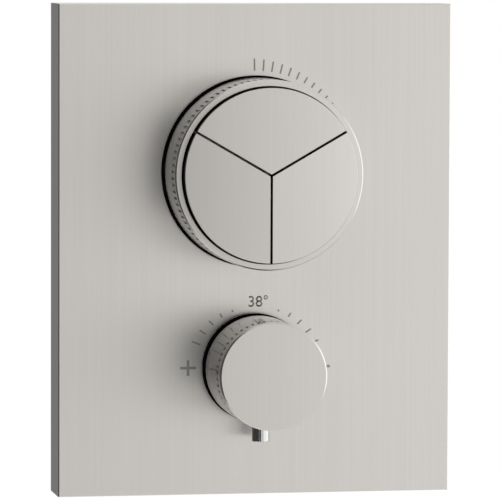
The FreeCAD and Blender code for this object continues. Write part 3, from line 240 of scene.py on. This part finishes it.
def new_piece(name, mesh, tree, body):
    """Turns a bmesh into a piece that rides a body."""
    piece = new_object(name, mesh, material_of(tree))
    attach(piece, body)


def thread_ridge(mesh):
    """A helical ridge on the wall of a bore that opens upwards at the origin."""
    foot, crest = BORE_RADIUS + RIDGE_SINK, BORE_RADIUS - RIDGE_HEIGHT
    profile = [mesh.verts.new((reach, 0, height)) for reach, height in (
        (foot, -RIDGE_HALF_WIDTH), (crest, 0), (foot, RIDGE_HALF_WIDTH))]
    edges = [mesh.edges.new(pair) for pair in zip(profile, profile[1:] + profile[:1])]
    swept = bmesh.ops.spin(mesh, geom=profile + edges, cent=(0, 0, 0), axis=(0, 0, 1),
                           dvec=(0, 0, -THREAD_PITCH / STEPS_PER_TURN),
                           steps=THREAD_TURNS * STEPS_PER_TURN,
                           angle=math.tau * THREAD_TURNS)["geom_last"]
    last = [part for part in swept if isinstance(part, bmesh.types.BMVert)]
    for end in (profile, last):
        bmesh.ops.contextual_create(mesh, geom=end)
    bmesh.ops.translate(mesh, verts=mesh.verts[:], vec=(0, 0, -THREAD_SETBACK))
    bmesh.ops.recalc_face_normals(mesh, faces=mesh.faces[:])


# Each port's turn from upwards, in degrees about Y, and the middle of its mouth.
PORTS = {"hot_inlet_thread": (-90, (-SIDE_REACH, INLET_DEPTH, KNOB_HEIGHT)),
         "cold_inlet_thread": (90, (SIDE_REACH, INLET_DEPTH, KNOB_HEIGHT)),
         "left_outlet_thread": (-90, (-SIDE_REACH, OUTLET_DEPTH, SIDE_OUTLET_HEIGHT)),
         "right_outlet_thread": (90, (SIDE_REACH, OUTLET_DEPTH, SIDE_OUTLET_HEIGHT)),
         "top_outlet_thread": (0, (0, OUTLET_DEPTH, TOP_REACH))}

thread_brass = turned_brass("cut_threads", DIAL_HEIGHT)
for name, (turn, mouth) in PORTS.items():
    ridge = bmesh.new()
    thread_ridge(ridge)
    ridge.transform(Matrix.Translation(mouth) @ Matrix.Rotation(math.radians(turn), 4, "Y"))
    new_piece(name, ridge, thread_brass, "housing")

# Discs, seals, springs and mouldings inside the valve ------------------------------------------
# Ground alumina discs, nitrile rings, drawn stainless springs, acetal and glass-filled mouldings,
# the copper capsule of the wax element and the gauze of the inlet filters.

ceramic, shader = finish("ground_alumina", 0.0)
cloud, speck = mottled(ceramic, 200.0, 6000.0)
tint(ceramic, shader, (0.80, 0.78, 0.72), (0.90, 0.89, 0.85), speck)
roughen(ceramic, shader, 0.12, 0.25, cloud)
dress(ceramic, "moving_ceramic_disc", "fixed_ceramic_disc")

rubber, shader = finish("black_nitrile", 0.0, Roughness=0.55)
cloud, speck = mottled(rubber, 300.0, 5000.0)
tint(rubber, shader, (0.012, 0.012, 0.012), (0.030, 0.030, 0.030), cloud)
relief(rubber, shader, speck, 0.00001)
dress(rubber, "flow_cartridge_seal", "cartridge_o_rings", "thermostat_o_rings", "outlet_disc_top",
      "outlet_disc_lower_left", "outlet_disc_lower_right")

wire, shader = finish("drawn_stainless_wire")
cloud, speck = mottled(wire, 800.0, 6000.0)
tint(wire, shader, (0.42, 0.42, 0.42), (0.60, 0.60, 0.59), cloud)
roughen(wire, shader, 0.15, 0.32, speck)
dress(wire, "return_spring", "safety_spring", "button_spring_top", "button_spring_lower_left",
      "button_spring_lower_right")

acetal, shader = finish("white_acetal", 0.0)
cloud, speck = mottled(acetal, 90.0, 4000.0)
tint(acetal, shader, (0.74, 0.73, 0.68), (0.84, 0.83, 0.79), cloud)
roughen(acetal, shader, 0.30, 0.46, cloud)
relief(acetal, shader, speck, 0.00001)
dress(acetal, "dial_bush_nut", "knob_bush_nut", "button_carrier", "check_valves", "regulating_nut",
      "knob_insert", "button_stem_top", "button_stem_lower_left", "button_stem_lower_right")

glass_filled, shader = finish("grey_glass_filled", 0.0, Roughness=0.50)
cloud, speck = mottled(glass_filled, 120.0, 2500.0)
tint(glass_filled, shader, (0.20, 0.21, 0.22), (0.36, 0.37, 0.38), speck)
relief(glass_filled, shader, speck, 0.00002)
dress(glass_filled, "ring_driver", "stop_ring", "shuttle")

capsule, shader = finish("copper_capsule")
cloud, speck = mottled(capsule, 150.0, 4000.0)
tint(capsule, shader, (0.56, 0.28, 0.16), (0.78, 0.44, 0.28), cloud)
roughen(capsule, shader, 0.22, 0.42, cloud)
dress(capsule, "wax_element")

GAUZE_SCALE = 100.0

gauze, shader = finish("stainless_gauze", Roughness=0.40)
place = add(gauze, "ShaderNodeTexCoord").outputs["Object"]
warp, weft = (add(gauze, "ShaderNodeTexWave", {"Vector": place, "Scale": GAUZE_SCALE},
                  bands_direction=axis).outputs["Fac"] for axis in "YZ")
weave = sums(gauze, "MAXIMUM", warp, weft)
tint(gauze, shader, (0.03, 0.03, 0.03), (0.62, 0.62, 0.60), weave)
relief(gauze, shader, weave, 0.0001)
dress(gauze, "inlet_filters")

# Foam seal -------------------------------------------------------------------------------------
# A frame die-cut from closed-cell foam sheet, glued to the plate carrier and pressed on the wall.

foam, shader = finish("closed_cell_foam", 0.0, Roughness=0.85)
cells = add(foam, "ShaderNodeTexVoronoi",
            {"Vector": add(foam, "ShaderNodeTexCoord").outputs["Object"], "Scale": 1300.0})
tint(foam, shader, (0.035, 0.035, 0.036), (0.085, 0.085, 0.088), cells.outputs["Distance"])
relief(foam, shader, cells.outputs["Distance"], 0.0002)
dress(foam, "wall_seal")

# Faceplate -------------------------------------------------------------------------------------
# A deep-drawn stainless pan with a brushed nickel finish. The belt ran from top to bottom, so
# hair-fine lines stand upright on the front and the sides.

PLATE_DARK = (0.560, 0.540, 0.512)
PLATE_PALE = (0.660, 0.639, 0.611)

# How many lines and broader streaks a metre holds, across the brushing and along it.
BRUSHING = {"Line": (1100.0, 9.0), "Streak": (88.0, 3.6)}

brushing, given, out = new_group("brushing", [], BRUSHING)
place = add(brushing, "ShaderNodeTexCoord").outputs["Object"]
for label, (across, along) in BRUSHING.items():
    stretched = add(brushing, "ShaderNodeVectorMath", {0: place, 1: (across, across, along)},
                    operation="MULTIPLY")
    noise = add(brushing, "ShaderNodeTexNoise",
                {"Vector": stretched.outputs[0], "Scale": 1.0, "Detail": 3.0, "Roughness": 0.6})
    brushing.links.new(noise.outputs["Fac"], out[label])


def upright_brushing(tree, shader, dark, pale):
    """Colour of hair-fine upright lines, with a tangent across them: gives line and shade."""
    line, streak = add(tree, "ShaderNodeGroup", node_tree=brushing).outputs
    shade = sums(tree, "MULTIPLY_ADD", line, 0.6, sums(tree, "MULTIPLY", streak, 0.4))
    tint(tree, shader, dark, pale, shade)
    across = add(tree, "ShaderNodeTangent", direction_type="RADIAL", axis="Z")
    tree.links.new(across.outputs[0], shader.inputs["Tangent"])
    return line, shade


LINE_DEPTH = 0.000006

brushed_plate, shader = finish("brushed_plate", Anisotropic=0.8)
line, shade = upright_brushing(brushed_plate, shader, PLATE_DARK, PLATE_PALE)
roughen(brushed_plate, shader, 0.26, 0.34, shade)
relief(brushed_plate, shader, line, LINE_DEPTH)
dress(brushed_plate, "faceplate")

# Bushes under the dials ------------------------------------------------------------------------
# Black glass-filled nylon, moulded with a fine spark-eroded texture. They line the two openings
# of the faceplate, and the flow ring and the knob turn over them.

# Near black and with no specular sheen at all, the bushes are partly painted shade: they also stand
# in for the dark gap under the ring and the knob.
black_nylon, shader = finish("black_nylon", 0.0, Roughness=0.50, Specular_IOR_Level=0.0)
cloud, speck = mottled(black_nylon, 200.0, 4500.0)
tint(black_nylon, shader, (0.0015, 0.0015, 0.0015), (0.004, 0.004, 0.004), cloud)
relief(black_nylon, shader, speck, 0.000015)
dress(black_nylon, "dial_bush", "knob_bush")

# Marks on the faceplate ------------------------------------------------------------------------
# Laser-annealed strokes, dark grey and a hair proud of the brushed metal: the flow scale round
# the ring, the temperature scale round the knob, plus and minus, and the number of the stop.

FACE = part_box("faceplate")[0].y
MARK_THICKNESS = 0.00004
MARK_SINK = 0.00001
STROKE = 0.00065

etched, shader = finish("annealed_marks", 0.85)
cloud, speck = mottled(etched, 500.0, 5000.0)
tint(etched, shader, (0.24, 0.23, 0.22), (0.34, 0.33, 0.32), speck)
roughen(etched, shader, 0.45, 0.65, cloud)


def stroke(mesh, axis_height, clockwise, inner, outer, width=STROKE):
    """One straight mark on the plate, radial to a dial's axis, at an angle from 12 o'clock."""
    length = outer - inner
    flat = bmesh.ops.create_grid(mesh, x_segments=1, y_segments=1, size=0.5)["verts"]
    bmesh.ops.scale(mesh, verts=flat, vec=(width, length, 1))
    bmesh.ops.rotate(mesh, verts=flat, matrix=Matrix.Rotation(math.pi / 2, 3, "X"))
    bmesh.ops.translate(mesh, verts=flat, vec=(0, FACE + MARK_SINK, (inner + outer) / 2))
    bmesh.ops.rotate(mesh, verts=flat, matrix=Matrix.Rotation(math.radians(clockwise), 3, "Y"))
    bmesh.ops.translate(mesh, verts=flat, vec=(0, 0, axis_height))


def raise_marks(mesh):
    """Gives flat marks their thickness, towards the room."""
    faces = mesh.faces[:]
    raised = bmesh.ops.extrude_face_region(mesh, geom=faces, use_keep_orig=True)["geom"]
    corners = [part for part in raised if isinstance(part, bmesh.types.BMVert)]
    bmesh.ops.translate(mesh, verts=corners, vec=(0, -MARK_THICKNESS - MARK_SINK, 0))
    bmesh.ops.recalc_face_normals(mesh, faces=mesh.faces[:])


# Flow scale: twelve strokes from closed to open, each a little shorter than the one before.
FLOW_STEPS = 12
FLOW_START = -1.0
FLOW_SPAN = 55.0
FLOW_INNER = 0.0409
FLOW_FULL = 0.0459
FLOW_LEAST = 0.0419

scale = bmesh.new()
for step in range(FLOW_STEPS):
    share = step / (FLOW_STEPS - 1)
    stroke(scale, DIAL_HEIGHT, FLOW_SPAN * share + FLOW_START, FLOW_INNER,
           FLOW_FULL + (FLOW_LEAST - FLOW_FULL) * share)
raise_marks(scale)
new_piece("flow_scale", scale, etched, "housing")

# Temperature scale: five strokes each way, longer towards plus and minus, and the level strokes
# of the two signs.
SCALE_ANGLES = (22.5, 33.75, 45.0, 56.25, 67.5)
SCALE_LENGTHS = (0.0008, 0.0019, 0.0025, 0.0032, 0.0038)
SCALE_INNER = 0.0246
SIGN_CIRCLE = 0.0278
SIGN_WIDTH = 0.0065
SIGN_STROKE = 0.0011

scale = bmesh.new()
for side in (-1, 1):
    for angle, length in zip(SCALE_ANGLES, SCALE_LENGTHS):
        stroke(scale, KNOB_HEIGHT, side * angle, SCALE_INNER, SCALE_INNER + length)
    stroke(scale, KNOB_HEIGHT, side * 90, SIGN_CIRCLE - SIGN_WIDTH / 2,
           SIGN_CIRCLE + SIGN_WIDTH / 2, SIGN_STROKE)
raise_marks(scale)
new_piece("temperature_scale", scale, etched, "housing")

# The plus sign's upright, in two halves that leave its level stroke free.
plus = bmesh.new()
for low, high in ((SIGN_STROKE / 2, SIGN_WIDTH / 2), (-SIGN_WIDTH / 2, -SIGN_STROKE / 2)):
    stroke(plus, KNOB_HEIGHT, 0, low, high, SIGN_STROKE)
bmesh.ops.translate(plus, verts=plus.verts[:], vec=(-SIGN_CIRCLE, 0, 0))
raise_marks(plus)
new_piece("plus_upright", plus, etched, "housing")

# The number's cap height, the place of its foot above the knob's axis, the shift that centres the
# digits without their degree sign, and how much bolder than the font its strokes are.
NUMBER_CAP = 0.0046
NUMBER_FOOT = 0.0248
DEGREE_SHIFT = 0.0012
NUMBER_WEIGHT = 0.007

letters = bpy.data.curves.new("stop_number", "FONT")
letters.body = "38°"
letters.align_x = "CENTER"
letters.resolution_u = 6
letters.offset = NUMBER_WEIGHT
writing = bpy.data.objects.new("stop_number_text", letters)
bpy.context.scene.collection.objects.link(writing)
bpy.context.view_layer.update()
number = bmesh.new()
number.from_mesh(bpy.data.meshes.new_from_object(writing))
bpy.data.objects.remove(writing)
bmesh.ops.remove_doubles(number, verts=number.verts[:], dist=1e-6)
cap_height = max(corner.co.y for corner in number.verts)
size = NUMBER_CAP / cap_height
bmesh.ops.scale(number, verts=number.verts[:], vec=(size, size, 1))
bmesh.ops.rotate(number, verts=number.verts[:], matrix=Matrix.Rotation(math.pi / 2, 3, "X"))
bmesh.ops.translate(number, verts=number.verts[:],
                    vec=(DEGREE_SHIFT, FACE + MARK_SINK, KNOB_HEIGHT + NUMBER_FOOT))
raise_marks(number)
new_piece("stop_number", number, etched, "housing")

# Flow ring and push buttons --------------------------------------------------------------------
# The ring is turned from brass tube and nickel plated, with a turned line and milled grip notches.
# Its wall is left bright from the lathe but darkened as painted shade, and its line, notches and
# inside are painted near black as painted shade. The three buttons are steel faces of one brushed
# disc, cut into sectors, with their sides painted black as the shade in the slots between them.

# The radius of the dome that the ring's and the caps' fronts follow, and the share of a front's
# normal that has to point to the room.
DIAL_CROWN = 0.50
FRONT_SLOPE = -0.7

# Turns a dial's front very slightly outwards towards its edge, lets one cap lean, and finds the
# front and what lies sunk below the wall: the turned line, the notches and the inside.
crown, given, out = new_group("crown", ["Axis height", "Radius", "Lean", "Wall"],
                              ["Height", "Front", "Sunk"])
place = add(crown, "ShaderNodeTexCoord").outputs
x, _, z = add(crown, "ShaderNodeSeparateXYZ", {0: place["Object"]}).outputs
above = sums(crown, "SUBTRACT", z, given["Axis height"])
squared = sums(crown, "ADD", sums(crown, "MULTIPLY", x, x), sums(crown, "MULTIPLY", above, above))
fall = sums(crown, "DIVIDE", squared, sums(crown, "MULTIPLY", given["Radius"], -2.0))
crown.links.new(sums(crown, "MULTIPLY_ADD", x, given["Lean"], fall), out["Height"])
outward = add(crown, "ShaderNodeSeparateXYZ", {0: place["Normal"]}).outputs[1]
front = sums(crown, "LESS_THAN", outward, FRONT_SLOPE)
crown.links.new(front, out["Front"])
deep = sums(crown, "LESS_THAN", sums(crown, "SQRT", squared), given["Wall"])
crown.links.new(sums(crown, "SUBTRACT", deep, sums(crown, "MULTIPLY", deep, front)), out["Sunk"])

DIAL_DARK = (0.538, 0.516, 0.487)
DIAL_PALE = (0.633, 0.610, 0.580)
# Painted shade: near black for what lies sunk below the wall, the turned line, the notches and the
# inside.
SUNK_SHADE = (0.10, 0.10, 0.095)
WALL_SKIM = 0.0002
METRE = 1.0

# The roughness of the brushed front and of the bright wall, and how far their lines vary it.
FRONT_ROUGHNESS = (0.30, 0.10)
WALL_ROUGHNESS = (0.11, 0.05)


def base_colour(shader):
    """The output that feeds a shader's base colour."""
    return shader.inputs["Base Color"].links[0].from_socket


def brushed_front(name, axis_height, radius, wall, wall_shade, lean=0.0):
    """A dial's material: brushed on its slightly crowned front, bright on its wall, with painted
    shade: the wall darkened by a factor and what lies sunk painted near black.
    """
    tree, shader = finish(name, Anisotropic=0.5)
    line, shade = upright_brushing(tree, shader, DIAL_DARK, DIAL_PALE)
    shape = {"Axis height": axis_height, "Radius": radius, "Lean": lean, "Wall": wall}
    height, front, sunk = add(tree, "ShaderNodeGroup", shape, node_tree=crown).outputs
    # Darkens the wall by a factor, as painted shade for the shaded plate that it mirrors.
    beside = sums(tree, "SUBTRACT", 1.0, front)
    dimmed = {0: beside, 6: base_colour(shader), 7: (wall_shade, wall_shade, wall_shade, 1)}
    walls = add(tree, "ShaderNodeMix", dimmed, data_type="RGBA", blend_type="MULTIPLY")
    # Paints what lies sunk near black, as shade in the recesses.
    painted_sunk_shade = add(tree, "ShaderNodeMix", {0: sunk, 6: walls.outputs[2], 7: (*SUNK_SHADE, 1)},
                data_type="RGBA")
    tree.links.new(painted_sunk_shade.outputs[2], shader.inputs["Base Color"])
    smooth, spread = FRONT_ROUGHNESS
    front_roughness = sums(tree, "MULTIPLY_ADD", shade, spread, smooth)
    smooth, spread = WALL_ROUGHNESS
    wall_roughness = sums(tree, "MULTIPLY_ADD", line, spread, smooth)
    rough = add(tree, "ShaderNodeMix", {0: front, 2: wall_roughness, 3: front_roughness})
    tree.links.new(rough.outputs[0], shader.inputs["Roughness"])
    form = sums(tree, "MULTIPLY_ADD", line, LINE_DEPTH, height)
    relief(tree, shader, sums(tree, "MULTIPLY", form, front), METRE)
    return tree, shader, front


# Below this radius the ring's wall is sunk and painted near black as shade, and its wall has this
# share of its front's colour, as painted shade for the shaded plate that the wall mirrors.
RING_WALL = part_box("flow_ring")[1].x - WALL_SKIM
RING_WALL_SHADE = 0.85

ring_metal, _, _ = brushed_front("brushed_ring", DIAL_HEIGHT, DIAL_CROWN, RING_WALL, RING_WALL_SHADE)
dress(ring_metal, "flow_ring")

# How far each cap leans to one side, as a slope, so that the three faces differ a little.
BUTTON_LEAN = {"button_top": 0.010, "button_lower_left": 0.025, "button_lower_right": -0.010}
# The buttons' sides are painted near black, as shade in the slots between the caps.
SIDE_SHADE_BLACK = (0.003, 0.003, 0.003)

for node, lean in BUTTON_LEAN.items():
    tree, shader, front = brushed_front(f"brushed_{node}", DIAL_HEIGHT, DIAL_CROWN, RING_WALL,
                                        1.0, lean)
    # Painted shade: the sides, not the fronts, are near black and not metallic, with little sheen.
    painted_side_shade = add(tree, "ShaderNodeMix", {0: front, 6: (*SIDE_SHADE_BLACK, 1), 7: base_colour(shader)},
                data_type="RGBA")
    tree.links.new(painted_side_shade.outputs[2], shader.inputs["Base Color"])
    tree.links.new(front, shader.inputs["Metallic"])
    shader.inputs["Specular IOR Level"].default_value = 0.03
    dress(tree, node)

# Temperature knob ------------------------------------------------------------------------------
# A turned cup with a brushed face, a line near its foot and small milled notches near its face.
# The acetal insert inside clips it to the temperature spindle. Its face is flatter than the dial's.

KNOB_CROWN = 0.9
KNOB_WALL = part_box("temperature_knob")[1].x - WALL_SKIM
# The knob's wall keeps this share of its face's colour, as painted shade for the shaded plate it
# mirrors; its line and notches are painted near black as shade.
KNOB_WALL_SHADE = 0.68

knob_metal, _, _ = brushed_front("brushed_knob", KNOB_HEIGHT, KNOB_CROWN, KNOB_WALL, KNOB_WALL_SHADE)
dress(knob_metal, "temperature_knob")

# Safety button ---------------------------------------------------------------------------------
# A turned pin, polished and chromed, that stands out below the knob. Pressing it lets the knob
# turn past the stop.

chrome, shader = finish("polished_chrome")
cloud, speck = mottled(chrome, 200.0, 5000.0)
tint(chrome, shader, (0.46, 0.46, 0.46), (0.51, 0.51, 0.50), cloud)
roughen(chrome, shader, 0.10, 0.15, cloud)
dress(chrome, "safety_button")

# Studio ----------------------------------------------------------------------------------------
# A white room: the world and the floor are white, and one soft lamp stands on the right. Cards on
# both sides, seen only in reflections, give the metal its darker left and its paler right.

WORLD_LIGHT = 0.8
WORLD_SEEN = 1.0


def seen_directly(tree):
    """1 for camera rays and for rays that mirror or pass through, 0 for scattered light."""
    rays = add(tree, "ShaderNodeLightPath").outputs
    mirrored = sums(tree, "MAXIMUM", rays["Is Glossy Ray"], rays["Is Transmission Ray"])
    return sums(tree, "MAXIMUM", rays["Is Camera Ray"], mirrored)


world = bpy.data.worlds.new("white_room")
bpy.context.scene.world = world
world.use_nodes = True
sky = world.node_tree.nodes["Background"]
sky.inputs["Color"].default_value = (1, 1, 1, 1)
level = add(world.node_tree, "ShaderNodeMapRange",
            {"Value": seen_directly(world.node_tree), "To Min": WORLD_LIGHT, "To Max": WORLD_SEEN})
world.node_tree.links.new(level.outputs[0], sky.inputs["Strength"])


def stage_card(name, size, place, facing, material):
    """A flat card for the stage, size across and up, turned to face a point."""
    mesh = bmesh.new()
    corners = bmesh.ops.create_grid(mesh, x_segments=1, y_segments=1, size=0.5)["verts"]
    bmesh.ops.scale(mesh, verts=corners, vec=(*size, 1))
    turn = (Vector(facing) - Vector(place)).to_track_quat("Z", "Y").to_matrix().to_4x4()
    mesh.transform(Matrix.Translation(place) @ turn)
    card = new_object(name, mesh, material)
    return card


FLOOR_HEIGHT = -0.45
FLOOR_GLOW = 1.05
FLOOR_GLOW_SHARE = 0.85

# White card that glows where it is seen, and that is clear from below.
floor_paint = bpy.data.materials.new("white_floor")
floor_paint.use_nodes = True
tree = floor_paint.node_tree
matt = tree.nodes["Principled BSDF"]
matt.inputs["Base Color"].default_value = (0.95, 0.95, 0.95, 1)
matt.inputs["Roughness"].default_value = 0.9
matt.inputs["Specular IOR Level"].default_value = 0.0
glow = add(tree, "ShaderNodeEmission", {"Color": (1, 1, 1, 1), "Strength": FLOOR_GLOW})
share = sums(tree, "MULTIPLY", seen_directly(tree), FLOOR_GLOW_SHARE)
paint = add(tree, "ShaderNodeMixShader", {0: share, 1: matt.outputs[0], 2: glow.outputs[0]})
clear = add(tree, "ShaderNodeBsdfTransparent")
below = add(tree, "ShaderNodeNewGeometry").outputs["Backfacing"]
sided = add(tree, "ShaderNodeMixShader", {0: below, 1: paint.outputs[0], 2: clear.outputs[0]})
tree.links.new(sided.outputs[0], tree.nodes["Material Output"].inputs["Surface"])
stage_card("floor", (20, 20), (0, 0, FLOOR_HEIGHT), (0, 0, 1), floor_paint)


def card_paint(name, low, high, start, end):
    """A card's glow, seen in reflections: from low at a Y of start to high at a Y of end."""
    material = bpy.data.materials.new(name)
    material.use_nodes = True
    tree = material.node_tree
    along = add(tree, "ShaderNodeSeparateXYZ",
                {0: add(tree, "ShaderNodeTexCoord").outputs["Object"]}).outputs[1]
    ramp = add(tree, "ShaderNodeMapRange", {"Value": along, "From Min": start, "From Max": end,
                                            "To Min": low, "To Max": high},
               interpolation_type="SMOOTHSTEP")
    glow = add(tree, "ShaderNodeEmission", {"Strength": ramp.outputs[0]})
    tree.links.new(glow.outputs[0], tree.nodes["Material Output"].inputs["Surface"])
    return material


# Each card's name, size, place, the point it faces, and its glow as card_paint takes it.
CARDS = (
    ("left_card", (2.0, 2.0), (-0.30, -1.65, 0.0), (0, -1.65, 0.0), (0.02, 0.85, -1.45, -2.65)),
    ("side_card", (1.2, 2.0), (-0.50, -0.30, 0.0), (0, -0.30, 0.0), (0.07, 0.07, 0, 1)),
    ("back_left_card", (2.0, 2.0), (-0.9, 0.9, 0.0), (0, 0, 0.0), (0.30, 0.30, 0, 1)),
    ("right_card", (2.0, 2.0), (0.9, -1.6, 0.0), (0, -1.6, 0.0), (1.0, 1.7, -2.6, -1.3)),
)
for name, size, place, facing, glow in CARDS:
    card = stage_card(name, size, place, facing, card_paint(name, *glow))
    card.visible_camera = False
    card.visible_diffuse = False
    card.visible_shadow = False

LAMP_SIDE = 1.2
LAMP_WATTS = 4.2
LAMP_PLACE = (1.15, -0.1, -0.05)
LAMP_AIM = (-1, 0, 0)

lamp_data = bpy.data.lights.new("soft_lamp", "AREA")
lamp_data.shape = "RECTANGLE"
lamp_data.size = LAMP_SIDE
lamp_data.size_y = LAMP_SIDE
lamp_data.energy = LAMP_WATTS
lamp = bpy.data.objects.new("soft_lamp", lamp_data)
bpy.context.scene.collection.objects.link(lamp)
lamp.location = LAMP_PLACE
lamp.rotation_euler = Vector(LAMP_AIM).to_track_quat("-Z", "Y").to_euler()

# Camera ----------------------------------------------------------------------------------------
# Set a little left of the plate's middle and above it, as the photograph was taken.

PHOTO_SIDE = 500.0
FOCAL_PIXELS = 4446.0
CAMERA_PLACE = (-0.3280, -1.8615, 0.1279)
CAMERA_YAW = 10.388
CAMERA_PITCH = 4.056
CAMERA_ROLL = 0.203

lens = bpy.data.cameras.new("camera")
lens.sensor_width = 36.0
lens.lens = FOCAL_PIXELS / PHOTO_SIDE * lens.sensor_width
camera = bpy.data.objects.new("camera", lens)
bpy.context.scene.collection.objects.link(camera)
camera.matrix_world = (
    Matrix.Translation(CAMERA_PLACE)
    @ Matrix.Rotation(-math.radians(CAMERA_YAW), 4, "Z")
    @ Matrix.Rotation(math.radians(90 - CAMERA_PITCH), 4, "X")
    @ Matrix.Rotation(math.radians(CAMERA_ROLL), 4, "Z")
)
bpy.context.scene.camera = camera
bpy.context.scene.view_settings.view_transform = "Standard"
